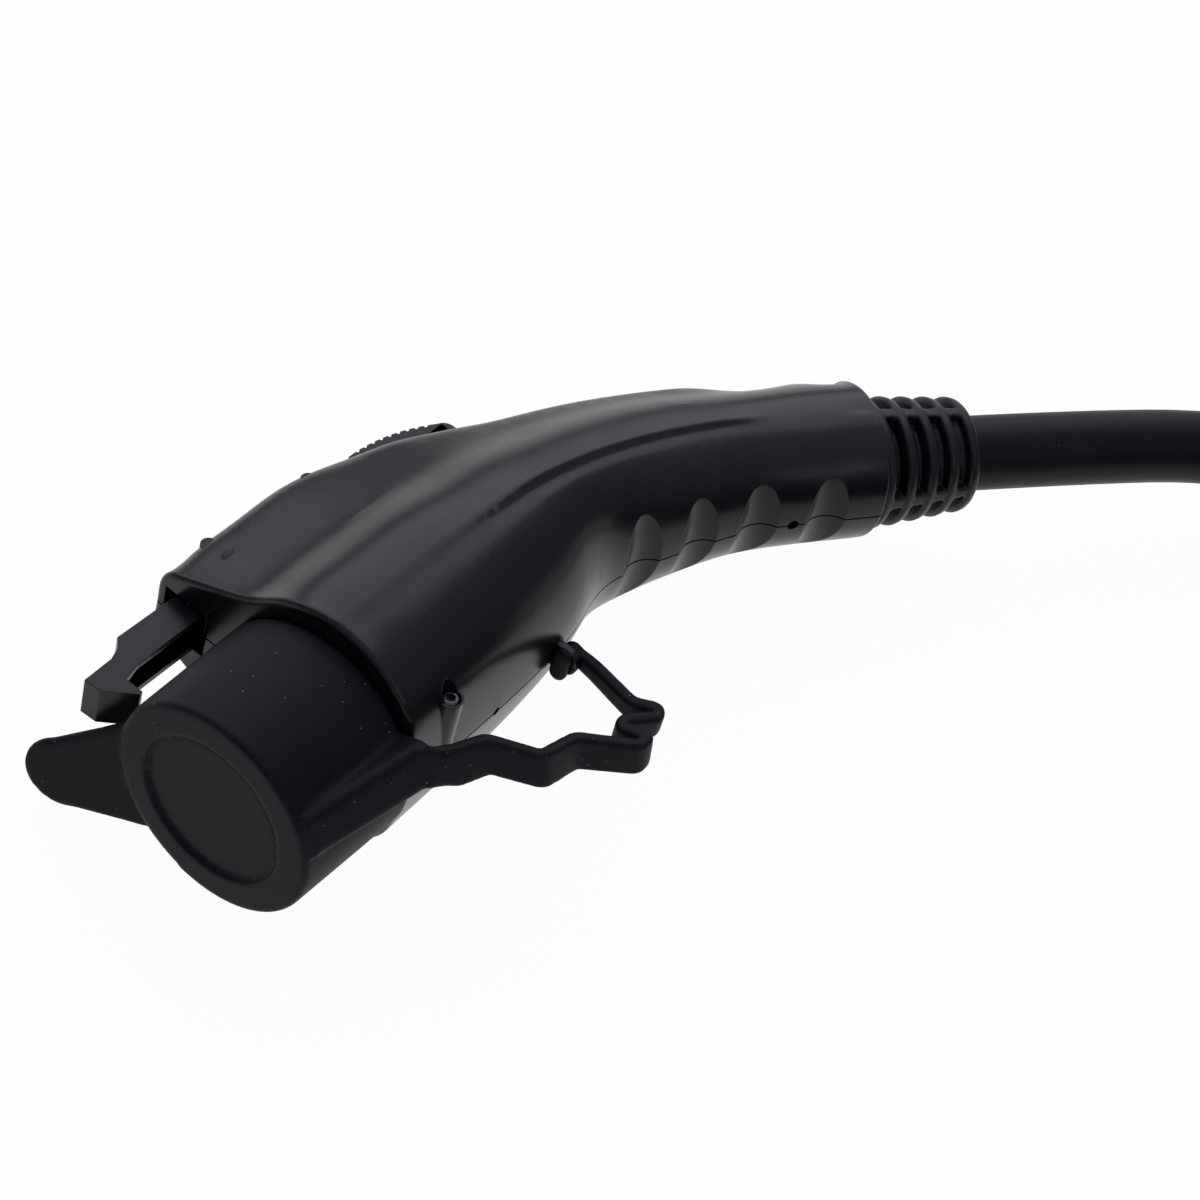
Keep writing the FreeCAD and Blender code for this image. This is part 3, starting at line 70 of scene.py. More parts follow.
# Charging cable: a round black rubber jacket of 18 mm over five cores. It comes straight out of the
# boot, sags to the surface, and the length that isn't in use lies in a neat coil past the picture's
# edge. The jacket is extruded, so its skin is even and dull and picks up a little dust.
cable_diameter = 0.018
cable_route = [
    (-0.1749, 0.0505, 0.0), (-0.2026, 0.0702, -0.0010), (-0.2349, 0.0937, -0.0036),
    (-0.2568, 0.1198, -0.0080), (-0.2697, 0.1534, -0.0140), (-0.2738, 0.1932, -0.0188),
    (-0.2724, 0.2351, -0.0210), (-0.2673, 0.2768, -0.0214), (-0.2616, 0.3124, -0.0214),
]
coil_middle = Vector((-0.1550, 0.2955))
coil_start = math.radians(171)
coil_turns, points_a_turn = 8, 16
coil_turn_radii = [0.108, 0.090, 0.072, 0.072, 0.090, 0.108, 0.108, 0.090, 0.072]
coil_turn_heights = [-0.0214] * 3 + [-0.0034] * 3 + [0.0146] * 3
spline_pull_in = 0.981
cable_points = [Vector(point) for point in cable_route]
for step in range(1, coil_turns * points_a_turn + 1):
    turn = step / points_a_turn
    lap = int(turn)
    after = min(lap + 1, len(coil_turn_radii) - 1)
    # Each lap crosses to the next one's radius and height in its last quarter
    change = max(0.0, (turn - lap) * 4 - 3)
    change = change * change * (3 - 2 * change)
    radius = coil_turn_radii[lap] + (coil_turn_radii[after] - coil_turn_radii[lap]) * change
    height = coil_turn_heights[lap] + (coil_turn_heights[after] - coil_turn_heights[lap]) * change
    angle = coil_start - 2 * math.pi * turn
    # The curve runs inside its points, so they lie a little further out than the coil
    reach = radius / spline_pull_in
    cable_points.append(Vector((coil_middle.x + reach * math.cos(angle),
                                coil_middle.y + reach * math.sin(angle), height)))
cable_curve = bpy.data.curves.new("charging_cable", "CURVE")
cable_curve.dimensions = "3D"
cable_spline = cable_curve.splines.new("NURBS")
cable_spline.points.add(len(cable_points) - 1)
# The points carry the jacket's radius and the bevel is 1, so that the curve's own bounds fit it
for spline_point, place in zip(cable_spline.points, cable_points):
    spline_point.co = (*place, 1)
    spline_point.radius = cable_diameter / 2
cable_spline.order_u = 3
cable_spline.use_endpoint_u = True
cable_curve.bevel_depth = 1
cable_curve.bevel_resolution = 8
cable_curve.resolution_u = 6
cable_curve.use_fill_caps = True
cable = bpy.data.objects.new("charging_cable", cable_curve)
bpy.context.scene.collection.objects.link(cable)
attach(cable, "connector")
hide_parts("cable_run", "cable_coil")


# A shader group with named inputs and outputs, and its two end nodes
def effect_group(name, inputs, outputs):
    group = bpy.data.node_groups.new(name, "ShaderNodeTree")
    for label, kind, value in inputs:
        socket = group.interface.new_socket(label, in_out="INPUT", socket_type="NodeSocket" + kind)
        if value is not None:
            socket.default_value = value
    for label, kind in outputs:
        group.interface.new_socket(label, in_out="OUTPUT", socket_type="NodeSocket" + kind)
    return group, group.nodes.new("NodeGroupInput"), group.nodes.new("NodeGroupOutput")


# Links or sets a node's inputs
def feed(tree, node, feeds):
    for socket, source in dict(feeds).items():
        if isinstance(source, bpy.types.NodeSocket):
            tree.links.new(source, node.inputs[socket])
        else:
            node.inputs[socket].default_value = source


# One node in a tree, with plain settings and what feeds its inputs
def put(tree, kind, feeds=(), **settings):
    node = tree.nodes.new(kind)
    for key, value in settings.items():
        setattr(node, key, value)
    feed(tree, node, feeds)
    return node


# A pattern of noise
def noise(tree, place, scale, detail, roughness=0.5):
    feeds = {"Vector": place, "Scale": scale, "Detail": detail, "Roughness": roughness}
    return put(tree, "ShaderNodeTexNoise", feeds).outputs["Fac"]


# A value worked out from others
def worked(tree, operation, *values):
    return put(tree, "ShaderNodeMath", dict(enumerate(values)), operation=operation).outputs[0]


# A value carried from one range to another
def ranged(tree, value, low, high, to_low=0.0, to_high=1.0, **settings):
    feeds = {"Value": value, "From Min": low, "From Max": high, "To Min": to_low, "To Max": to_high}
    return put(tree, "ShaderNodeMapRange", feeds, **settings).outputs["Result"]


# Two colours ("RGBA") or two values ("FLOAT") mixed by a share
def mixed(tree, kind, share, first, second):
    feeds = {"Factor": share, "A": first, "B": second}
    return put(tree, "ShaderNodeMix", feeds, data_type=kind).outputs["Result"]


# A relief laid over a normal
def bumped(tree, height, strength, distance, normal):
    feeds = {"Height": height, "Strength": strength, "Distance": distance, "Normal": normal}
    return put(tree, "ShaderNodeBump", feeds).outputs["Normal"]


# Moulded skin: slow patches of tone and gloss, and a fine grain for the bump
skin, skin_in, skin_out = effect_group("moulded_skin", [
    ("Place", "Vector", None), ("Dark Tone", "Color", (0.01, 0.01, 0.01, 1)),
    ("Light Tone", "Color", (0.02, 0.02, 0.02, 1)), ("Patch Scale", "Float", 30.0),
    ("Grain Scale", "Float", 1500.0), ("Roughness Low", "Float", 0.3), ("Roughness High", "Float", 0.4),
], [("Tone", "Color"), ("Roughness", "Float"), ("Grain", "Float")])
patch_low, patch_high = 0.32, 0.68
skin_place = skin_in.outputs["Place"]
patches = noise(skin, skin_place, skin_in.outputs["Patch Scale"], detail=5.0, roughness=0.62)
grain = noise(skin, skin_place, skin_in.outputs["Grain Scale"], detail=3.0, roughness=0.7)
spread = ranged(skin, patches, patch_low, patch_high)
skin_tone = mixed(skin, "RGBA", spread, skin_in.outputs["Dark Tone"], skin_in.outputs["Light Tone"])
skin_blur = mixed(skin, "FLOAT", worked(skin, "MULTIPLY", spread, grain),
                  skin_in.outputs["Roughness Low"], skin_in.outputs["Roughness High"])
feed(skin, skin_out, {"Tone": skin_tone, "Roughness": skin_blur, "Grain": grain})

# Dust: a few pale specks of different sizes, thick in some places and missing in others
dust, dust_in, dust_out = effect_group("dust_specks", [
    ("Place", "Vector", None), ("Speck Scale", "Float", 900.0), ("Share", "Float", 0.02),
    ("Speck Size", "Float", 0.16)], [("Mask", "Float")])
dust_thin, dust_thick = 0.15, 3.0
dust_place = dust_in.outputs["Place"]
cells = put(dust, "ShaderNodeTexVoronoi", {"Vector": dust_place, "Scale": dust_in.outputs["Speck Scale"]})
cell_draw = put(dust, "ShaderNodeSeparateColor", {"Color": cells.outputs["Color"]})
clouds = noise(dust, dust_place, scale=45.0, detail=2.0)
cloud = ranged(dust, clouds, low=0.45, high=0.7, to_low=dust_thin, to_high=dust_thick)
chosen = worked(dust, "LESS_THAN", cell_draw.outputs["Red"],
                worked(dust, "MULTIPLY", dust_in.outputs["Share"], cloud))
near_speck = worked(dust, "LESS_THAN", cells.outputs["Distance"],
                    worked(dust, "MULTIPLY", cell_draw.outputs["Green"], dust_in.outputs["Speck Size"]))
feed(dust, dust_out, {"Mask": worked(dust, "MULTIPLY", chosen, near_speck)})

# Handled edges: the normal with its edges rounded, and a mask where hands rub those edges lighter
wear, wear_in, wear_out = effect_group("rubbed_edges", [
    ("Place", "Vector", None), ("Edge Radius", "Float", 0.0003)], [("Mask", "Float"), ("Normal", "Vector")])
rounded = put(wear, "ShaderNodeBevel", {"Radius": wear_in.outputs["Edge Radius"]},
              samples=4).outputs["Normal"]
true_way = put(wear, "ShaderNodeNewGeometry").outputs["Normal"]
facing = put(wear, "ShaderNodeVectorMath", {0: rounded, 1: true_way}, operation="DOT_PRODUCT")
edge_flat, edge_sharp = 0.995, 0.90
edge_share = ranged(wear, facing.outputs["Value"], edge_flat, edge_sharp)
edge_breaks = noise(wear, wear_in.outputs["Place"], scale=160.0, detail=3.0)
feed(wear, wear_out, {"Mask": worked(wear, "MULTIPLY", edge_share, edge_breaks), "Normal": rounded})


# A new material with a moulded skin: the material, its shader, where it is, and the skin's node
def skin_material(name, tones, patch, grain, gloss, stretch=(1, 1, 1)):
    material = bpy.data.materials.new(name)
    material.use_nodes = True
    tree = material.node_tree
    place = put(tree, "ShaderNodeTexCoord").outputs["Object"]
    if stretch != (1, 1, 1):
        place = put(tree, "ShaderNodeMapping", {"Vector": place, "Scale": stretch}).outputs["Vector"]
    base = put(tree, "ShaderNodeGroup", {
        "Place": place, "Dark Tone": (*tones[0], 1), "Light Tone": (*tones[1], 1), "Patch Scale": patch,
        "Grain Scale": grain, "Roughness Low": gloss[0], "Roughness High": gloss[1]}, node_tree=skin)
    return material, tree.nodes["Principled BSDF"], place, base


# A moulded finish: tone, gloss and grain from the skin, with dust and rubbed edges over them
def moulded_finish(name, tones, patch, grain, gloss, bump, level, dusty, rubbed_tone,
                   speck=0.16, edges=0.0003):
    material, shader, place, base = skin_material(name, tones, patch, grain, gloss)
    tree = material.node_tree
    dust_tone, grain_depth = (0.24, 0.24, 0.26, 1), 0.0002
    specks = put(tree, "ShaderNodeGroup", {"Place": place, "Share": dusty, "Speck Size": speck},
                 node_tree=dust)
    rubbed = put(tree, "ShaderNodeGroup", {"Place": place, "Edge Radius": edges}, node_tree=wear)
    edged = mixed(tree, "RGBA", rubbed.outputs["Mask"], base.outputs["Tone"], (*rubbed_tone, 1))
    feed(tree, shader, {
        "Base Color": mixed(tree, "RGBA", specks.outputs["Mask"], edged, dust_tone),
        "Roughness": base.outputs["Roughness"], "Specular IOR Level": level,
        "Normal": bumped(tree, base.outputs["Grain"], bump, grain_depth, rubbed.outputs["Normal"])})
    return material


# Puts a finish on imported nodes
def finish_nodes(material, *names):
    for name in names:
        for slot in nodes[name].material_slots:
            slot.material = material


jacket_rubber = moulded_finish(
    "jacket_rubber", tones=((0.0030, 0.0029, 0.0038), (0.0055, 0.0053, 0.0068)), patch=18.0, grain=1400.0,
    gloss=(0.40, 0.52), bump=0.10, level=0.12, dusty=0.004, rubbed_tone=(0.010, 0.010, 0.012))
cable_curve.materials.append(jacket_rubber)
finish_nodes(jacket_rubber, "cable_end")

# Housing: two mirrored shells of black glass-filled nylon with a satin gloss, moulded with the screw
# bosses, the strap's eye and the finger scallops, and closed over the barrel along the middle seam.
shell_nylon = moulded_finish(
    "shell_nylon", tones=((0.0030, 0.0029, 0.0038), (0.0052, 0.0050, 0.0064)), patch=22.0, grain=900.0,
    gloss=(0.24, 0.30), bump=0.04, level=0.24, dusty=0.005, rubbed_tone=(0.012, 0.012, 0.014), edges=0.00045)
finish_nodes(shell_nylon, "left_shell", "right_shell")


# What feeds a shader's input so far
def fed_by(shader, label):
    return shader.inputs[label].links[0].from_socket


# The shells' meeting edges are broken by a small radius, bumped in as a shallow groove; the seam line is
# dulled and painted dark as the groove's shade
seam_core, seam_edge, seam_reach, seam_depth = 0.00014, 0.00034, 0.0004, 0.0003
# The seam's near-black tone is painted shade for the groove between the two shells
seam_painted_shade, seam_dullness = (0.0012, 0.0012, 0.0014, 1), 0.8
shell_tree = shell_nylon.node_tree
shell_shader = shell_tree.nodes["Principled BSDF"]
shell_place = put(shell_tree, "ShaderNodeTexCoord").outputs["Object"]
shell_parts = put(shell_tree, "ShaderNodeSeparateXYZ", {"Vector": shell_place})
off_seam = worked(shell_tree, "ABSOLUTE", shell_parts.outputs["Z"])
seam_share = ranged(shell_tree, off_seam, seam_core, seam_edge, 1.0, 0.0)
seam_height = ranged(shell_tree, off_seam, 0.0, seam_reach, interpolation_type="SMOOTHSTEP")
# Along the seam the colour takes the painted shade and the gloss turns dull
feed(shell_tree, shell_shader, {
    "Base Color": mixed(shell_tree, "RGBA", seam_share, fed_by(shell_shader, "Base Color"), seam_painted_shade),
    "Roughness": mixed(shell_tree, "FLOAT", seam_share, fed_by(shell_shader, "Roughness"), seam_dullness),
    "Normal": bumped(shell_tree, seam_height, 0.8, seam_depth, fed_by(shell_shader, "Normal"))})

# Screws: steel pan heads that hold the two shells, the sockets' retainer and the cord clamp. They are
# turned and blackened with oxide, and worn to a dark sheen on their crowns.


# A metal finish: brushed or drawn tone and gloss along its own grain
def metal_finish(name, tones, gloss, scale, bump, stretch=(1, 1, 1)):
    material, shader, place, base = skin_material(name, tones, scale, scale * 9, gloss, stretch)
    tree = material.node_tree
    edge_radius, grain_depth = 0.0002, 0.0001
    broken_edge = put(tree, "ShaderNodeBevel", {"Radius": edge_radius}, samples=4).outputs["Normal"]
    feed(tree, shader, {
        "Base Color": base.outputs["Tone"], "Roughness": base.outputs["Roughness"], "Metallic": 1.0,
        "Normal": bumped(tree, base.outputs["Grain"], bump, grain_depth, broken_edge)})
    return material


oxide_steel = metal_finish("oxide_steel", tones=((0.03, 0.03, 0.034), (0.08, 0.08, 0.09)),
                           gloss=(0.24, 0.38), scale=240.0, bump=0.08)
finish_nodes(oxide_steel, "shell_screws", "retainer_screws", "clamp_screws")

# Nose barrel, retainer, switch and cord clamp: fine matt black nylon mouldings under the cap and
# inside the shells. The switch's plunger is a small red moulding that slides in its case.
barrel_nylon = moulded_finish(
    "barrel_nylon", tones=((0.007, 0.0069, 0.0085), (0.012, 0.0118, 0.014)), patch=26.0, grain=1300.0,
    gloss=(0.42, 0.56), bump=0.10, level=0.28, dusty=0.001, rubbed_tone=(0.025, 0.025, 0.028))
finish_nodes(barrel_nylon, "nose_barrel", "contact_retainer", "switch_case", "cord_clamp_top",
             "cord_clamp_base")
plunger_nylon = moulded_finish(
    "plunger_nylon", tones=((0.20, 0.03, 0.02), (0.28, 0.05, 0.035)), patch=60.0, grain=1800.0,
    gloss=(0.32, 0.45), bump=0.06, level=0.5, dusty=0.0, rubbed_tone=(0.4, 0.12, 0.1), edges=0.0002)
finish_nodes(plunger_nylon, "switch_plunger")

# Contacts: copper sleeves turned in a lathe, which leaves fine marks round them, and plated with
# silver that tarnishes in patches. They are held in the barrel's cavities by the retainer.
silver_plate = metal_finish("silver_plate", tones=((0.60, 0.56, 0.48), (0.86, 0.84, 0.79)),
                            gloss=(0.18, 0.36), scale=320.0, bump=0.06, stretch=(0.15, 1, 1))
finish_nodes(silver_plate, "contact_line", "contact_neutral", "contact_earth", "contact_pilot",
             "contact_proximity")

# Barrel seal: a soft moulded ring of dark rubber, pressed between the barrel's flange and the
# shells when these are screwed together.
seal_rubber = moulded_finish(
    "seal_rubber", tones=((0.008, 0.008, 0.009), (0.014, 0.014, 0.016)), patch=70.0, grain=2200.0,
    gloss=(0.55, 0.7), bump=0.12, level=0.3, dusty=0.001, rubbed_tone=(0.03, 0.03, 0.03))
finish_nodes(seal_rubber, "barrel_seal")

# Dust cap: a thick cup of soft black rubber that is pushed over the barrel, moulded in one with the
# pull tab that leans forward off its front edge and with the rib that carries the strap.
cap_turn = math.radians(27)
cap_rim, cap_front, cap_floor = -0.0005, 0.0317, 0.0288
cap_bore, cap_side, cap_mouth = 0.0226, 0.0249, 0.0254
lip_chamfer, lip_round, front_round = 0.0004, 0.0008, 0.0012
disc_radius, disc_depth, disc_round, disc_draft = 0.0174, 0.0009, 0.0002, 0.0003
cap_steps = 144


# A closed solid turned about the X axis from its (along, radius) outline
def turned(mesh, outline, steps):
    rings = []
    for along, radius in outline:
        if radius < 1e-7:
            rings.append([mesh.verts.new((along, 0, 0))])
            continue
        rings.append([mesh.verts.new((along, radius * math.cos(2 * math.pi * step / steps),
                                      radius * math.sin(2 * math.pi * step / steps)))
                      for step in range(steps)])
    for near_ring, far_ring in zip(rings, rings[1:] + rings[:1]):
        if len(near_ring) == 1 and len(far_ring) == 1:
            continue
        for step in range(steps):
            after = (step + 1) % steps
            corners = [near_ring[step % len(near_ring)], near_ring[after % len(near_ring)],
                       far_ring[after % len(far_ring)], far_ring[step % len(far_ring)]]
            kept = [corner for place, corner in enumerate(corners) if corner not in corners[:place]]
            mesh.faces.new(kept)


# A closed solid skinned over loops of points that all have the same count
def skinned(mesh, loops):
    rings = [[mesh.verts.new(point) for point in loop] for loop in loops]
    for near_ring, far_ring in zip(rings, rings[1:]):
        for step in range(len(near_ring)):
            after = (step + 1) % len(near_ring)
            mesh.faces.new((near_ring[step], near_ring[after], far_ring[after], far_ring[step]))
    mesh.faces.new(rings[0])
    mesh.faces.new(rings[-1])


# Points round a part of a circle from one angle to another
def arc(middle_along, middle_radius, radius, first, last, count=6):
    angles = [math.radians(first + (last - first) * step / count) for step in range(count + 1)]
    return [(middle_along + radius * math.cos(angle), middle_radius + radius * math.sin(angle))
            for angle in angles]


# Makes what a piece's modifiers show its own mesh
def settle(piece):
    bpy.context.view_layer.update()
    shown = piece.evaluated_get(bpy.context.evaluated_depsgraph_get())
    settled = bpy.data.meshes.new_from_object(shown)
    settled.name = piece.name
    piece.modifiers.clear()
    piece.data = settled


# One moulding out of overlapping solids: merged on a fine grid and eased over a few rounds, with more
# easing at its inner corners where softened gives (weight of a point, share, passes)
def moulded_piece(name, mesh, grid, rounds, place=Matrix.Identity(4), softened=None):
    bmesh.ops.recalc_face_normals(mesh, faces=mesh.faces)
    rough = bpy.data.meshes.new(name)
    mesh.to_mesh(rough)
    mesh.free()
    rough.transform(place)
    piece = bpy.data.objects.new(name, rough)
    bpy.context.scene.collection.objects.link(piece)
    merge = piece.modifiers.new("merge", "REMESH")
    merge.mode = "VOXEL"
    merge.voxel_size = grid
    merge.use_smooth_shade = True
    ease = piece.modifiers.new("ease", "SMOOTH")
    ease.factor = 0.5
    ease.iterations = rounds
    settle(piece)
    if softened:
        weight_at, share, passes = softened
        fillet = piece.vertex_groups.new(name="fillet")
        for vertex in piece.data.vertices:
            weight = weight_at(vertex.co)
            if weight > 0:
                fillet.add([vertex.index], weight, "REPLACE")
        blend = piece.modifiers.new("fillet", "SMOOTH")
        blend.factor = share
        blend.iterations = passes
        blend.vertex_group = fillet.name
        settle(piece)
    for face in piece.data.polygons:
        face.use_smooth = True
    return piece


cap_mesh = bmesh.new()
disc_face = cap_front - disc_depth
cap_outline = [(cap_floor, 0), (cap_floor, cap_bore), (cap_rim + lip_chamfer, cap_bore),
               (cap_rim, cap_bore + lip_chamfer)]
cap_outline += arc(cap_rim + lip_round, cap_mouth - lip_round, lip_round, 180, 90)
cap_outline += arc(cap_front - front_round, cap_side - front_round, front_round, 87, 0)
cap_outline += arc(cap_front - disc_round, disc_radius + disc_round, disc_round, 0, -70, 3)
cap_outline += [(disc_face - disc_draft, disc_radius), (disc_face - disc_draft, disc_radius - 2 * disc_draft),
                (disc_face, disc_radius - 4 * disc_draft), (disc_face, 0)]
turned(cap_mesh, cap_outline, cap_steps)

# The pull tab: a round-ended tongue that starts inside the cup's wall and leans forward to its tip
tab_root, tab_reach, tab_wide, tab_narrow = 0.0238, 0.0502, 0.013, 0.0087
tab_thickness, tab_base_front, tab_tip_front, tab_lean_start = 0.0026, 0.0283, 0.0367, 0.021
tab_turn = Matrix.Rotation(math.radians(3), 4, "X")
tab_flare = [(0.0196, 0.0154), (0.0222, 0.0140), (0.0250, 0.0130), (0.0282, 0.0121), (0.0320, 0.0111)]
tab_root_steps, tab_tip_steps = 12, 24
tab_edge = [(-along, -side) for along, side in reversed(tab_flare)]
for step in range(tab_root_steps + 1):
    side = tab_wide * (2 * step / tab_root_steps - 1)
    tab_edge.append((-math.sqrt(tab_root ** 2 - side ** 2), side))
tab_edge += [(-along, side) for along, side in tab_flare]
shoulder = tab_reach - tab_narrow
for step in range(tab_tip_steps + 1):
    angle = math.radians(90 - 180 * step / tab_tip_steps)
    tab_edge.append((-shoulder - tab_narrow * math.cos(angle), tab_narrow * math.sin(angle)))
root_first, root_last = len(tab_flare) - 1, len(tab_flare) + tab_root_steps + 1
tab_loops = []
for depth, inset in ((1, 0.0009), (0.8, 0.0003), (0.5, 0), (0.2, 0.0003), (0, 0.0009)):
    loop = []
    for place, (along, side) in enumerate(tab_edge):
        # The edge is rounded where it is free, and kept whole inside the cup's wall
        if place < root_first or place > root_last:
            before = Vector(tab_edge[place - 1])
            after = Vector(tab_edge[(place + 1) % len(tab_edge)])
            inward = (after - before).normalized()
            along, side = along - inward.y * inset, side + inward.x * inset
        lean = (-along - tab_lean_start) / (tab_reach - tab_lean_start)
        front = tab_base_front + (tab_tip_front - tab_base_front) * lean
        loop.append(tab_turn @ Vector((front - tab_thickness * depth, along, side)))
    tab_loops.append(loop)
skinned(cap_mesh, tab_loops)

# The rib: a low wedge along the cup, highest at the rim, where the strap leaves it
rib_half, rib_root, rib_low, rib_high = 0.00525, 0.0238, 0.0260, 0.0324
rib_end, rib_round = 0.0304, 0.0019
rib_loops = []
for share in (0, 0.25, 0.5, 0.75, 1):
    along = cap_rim + (rib_end - cap_rim) * share
    middle = rib_high + (rib_low - rib_high) * share - rib_round
    loop = [(along, rib_root, -rib_half), (along, rib_root, rib_half)]
    for side, first in ((rib_half - rib_round, 0), (-rib_half + rib_round, 90)):
        for step in range(5):
            angle = math.radians(first + 22.5 * step)
            loop.append((along, middle + rib_round * math.sin(angle), side + rib_round * math.cos(angle)))
    rib_loops.append(loop)
skinned(cap_mesh, rib_loops)
cap_frame = Matrix.Rotation(cap_turn, 4, "X")
cap_back = cap_frame.inverted()
tab_corner, tab_fillet, tab_free, tab_ease = 0.0258, 0.0042, 0.0255, 0.22
rib_corner, rib_fillet, strap_start, strap_fillet = 0.0252, 0.0028, -0.0012, 0.0035


# How strongly a point is filleted: most at the corners where the tab and the rib grow out of the cup
# and where the strap leaves the rib, and a little over the free tab
def cap_fillets(point):
    local = cap_back @ point
    out = math.hypot(local.y, local.z)
    tab_share = rib_share = 0
    if local.y < -0.015 and local.x > 0.0235:
        free_share = tab_ease if out > tab_free else 0
        tab_share = max(free_share, 1 - abs(out - tab_corner) / tab_fillet)
    if local.y > 0.02 and 0.001 < local.x < 0.0285:
        beside = max(0, 1 - abs(abs(local.z) - rib_half) / rib_fillet)
        rib_share = beside * max(0, 1 - abs(out - rib_corner) / rib_fillet)
    if local.y > 0.024 and -0.005 < local.x < 0.002:
        rib_share = max(rib_share, 0.9 - abs(local.x - strap_start) / strap_fillet)
    return min(1, 1.4 * max(tab_share, rib_share))


cap_mesh.transform(cap_frame)

# Strap: a flat band of the cap's rubber that folds back on itself under the nose, narrows to its end,
# and buttons into the eye under the housing with a cross bar in front and a round knob behind.
strap_route = [
    (0.0022, 0.0274, 0.0139), (-0.0048, 0.0308, 0.0115), (-0.0134, 0.0331, 0.010),
    (-0.0199, 0.0428, 0.0083), (-0.030, 0.044, 0.0068), (-0.0396, 0.0539, 0.0054),
    (-0.0434, 0.0534, 0.0049), (-0.0418, 0.0474, 0.004), (-0.0446, 0.046, 0.0035),
    (-0.0516, 0.0503, 0.0025), (-0.0544, 0.0486, 0.002), (-0.0524, 0.0435, 0.0012),
    (-0.0558, 0.0310, 0.0), (-0.0562, 0.026, 0.0),
]
strap_bend, strap_thickness, strap_root_width, strap_end_width = 0.0015, 0.003, 0.0098, 0.0038
strap_edge, strap_narrowing, strap_untwist = 0.0008, 1.6, 1.6
bend_most, bend_steps = 0.46, 6
strap_spots = [Vector(point) for point in strap_route]
strap_stations = [(strap_spots[0], 0.0)]
for turn in range(1, len(strap_spots) - 1):
    before = strap_spots[turn - 1] - strap_spots[turn]
    after = strap_spots[turn + 1] - strap_spots[turn]
    cut_before = min(strap_bend, before.length * bend_most)
    cut_after = min(strap_bend, after.length * bend_most)
    first = strap_spots[turn] + before.normalized() * cut_before
    last = strap_spots[turn] + after.normalized() * cut_after
    for step in range(bend_steps + 1):
        along = step / bend_steps
        spot = first * (1 - along) ** 2 + strap_spots[turn] * (2 * along * (1 - along)) + last * along ** 2
        shift = -cut_before / before.length * (1 - along) + cut_after / after.length * along
        strap_stations.append((spot, (turn + shift) / (len(strap_spots) - 1)))
strap_stations.append((strap_spots[-1], 1.0))
strap_loops = []
for place, (spot, share) in enumerate(strap_stations):
    ahead = strap_stations[min(place + 1, len(strap_stations) - 1)][0]
    behind = strap_stations[max(place - 1, 0)][0]
    lean = cap_turn * max(0, 1 - share * strap_untwist)
    across = Vector((0, -math.sin(lean), math.cos(lean)))
    out = across.cross(ahead - behind).normalized()
    half_width = (strap_root_width + (strap_end_width - strap_root_width) * share ** strap_narrowing) / 2
    loop = []
    for quarter, (way_across, way_out) in enumerate(((1, 1), (-1, 1), (-1, -1), (1, -1))):
        middle = (spot + across * way_across * (half_width - strap_edge)
                  + out * way_out * (strap_thickness / 2 - strap_edge))
        for step in range(4):
            angle = math.radians(90 * quarter + 30 * step)
            loop.append(middle + (across * math.cos(angle) + out * math.sin(angle)) * strap_edge)
    strap_loops.append(loop)
skinned(cap_mesh, strap_loops)

# The plug at the strap's end, drawn about an axis through the eye: the knob, its neck and the bar
eye_spot, eye_half, plug_steps = (-0.0535, 0.0252, 0), 0.001, 40
knob_length, knob_face, knob_round, knob_radius = 0.003, 0.0018, 0.0008, 0.0026
neck_radius, neck_overlap = 0.0021, 0.0004
bar_half, bar_round, bar_square, bar_thickness, bar_rounding = 0.0025, 0.0021, 0.0014, 0.002, 0.0005
plug_mesh = bmesh.new()
turned(plug_mesh, [(-eye_half - knob_length, 0), (-eye_half - knob_length, knob_face)]
       + arc(-eye_half - knob_length + knob_round, knob_face, knob_round, 180, 90, 4)
       + [(-eye_half, knob_radius), (-eye_half, neck_radius), (eye_half + neck_overlap, neck_radius),
          (eye_half + neck_overlap, 0)], plug_steps)
bar_loops = []
for along, shrink in ((eye_half, 0), (eye_half + bar_square, 0), (eye_half + bar_thickness, bar_rounding)):
    loop = []
    for step in range(plug_steps):
        angle = math.radians(360 / plug_steps * step)
        reach = bar_round - shrink
        side = bar_half if math.sin(angle) >= 0 else -bar_half
        loop.append((along, reach * math.cos(angle), side + reach * math.sin(angle)))
    bar_loops.append(loop)
skinned(plug_mesh, bar_loops)
plug_mesh.transform(Matrix.Translation(eye_spot))
plug_rough = bpy.data.meshes.new("strap_plug_rough")
plug_mesh.to_mesh(plug_rough)
plug_mesh.free()
cap_mesh.from_mesh(plug_rough)
bpy.data.meshes.remove(plug_rough)

# Cap, tab, rib and strap are one moulding
dust_cap = moulded_piece("rubber_cap", cap_mesh, 0.00047, 3, softened=(cap_fillets, 0.5, 40))
cap_rubber = moulded_finish(
    "cap_rubber", tones=((0.0040, 0.0037, 0.0054), (0.0066, 0.0061, 0.0088)), patch=34.0, grain=1500.0,
    gloss=(0.48, 0.6), bump=0.16, level=0.09, dusty=0.16, rubbed_tone=(0.012, 0.012, 0.015), speck=0.15)
dust_cap.data.materials.append(cap_rubber)
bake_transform(dust_cap)
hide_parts("dust_cap", "cap_strap")

# Latch: the lever is a hollow glass-filled nylon beam with crisp edges, and the thumb button is a
# separate moulding of the same nylon that is pressed over the lever's rear arm.
lever_nylon = moulded_finish(
    "lever_nylon", tones=((0.0035, 0.0034, 0.0044), (0.0060, 0.0058, 0.0074)), patch=30.0, grain=1000.0,
    gloss=(0.28, 0.38), bump=0.05, level=0.24, dusty=0.003, rubbed_tone=(0.03, 0.03, 0.034), edges=0.0004)
finish_nodes(lever_nylon, "latch_lever", "release_button")
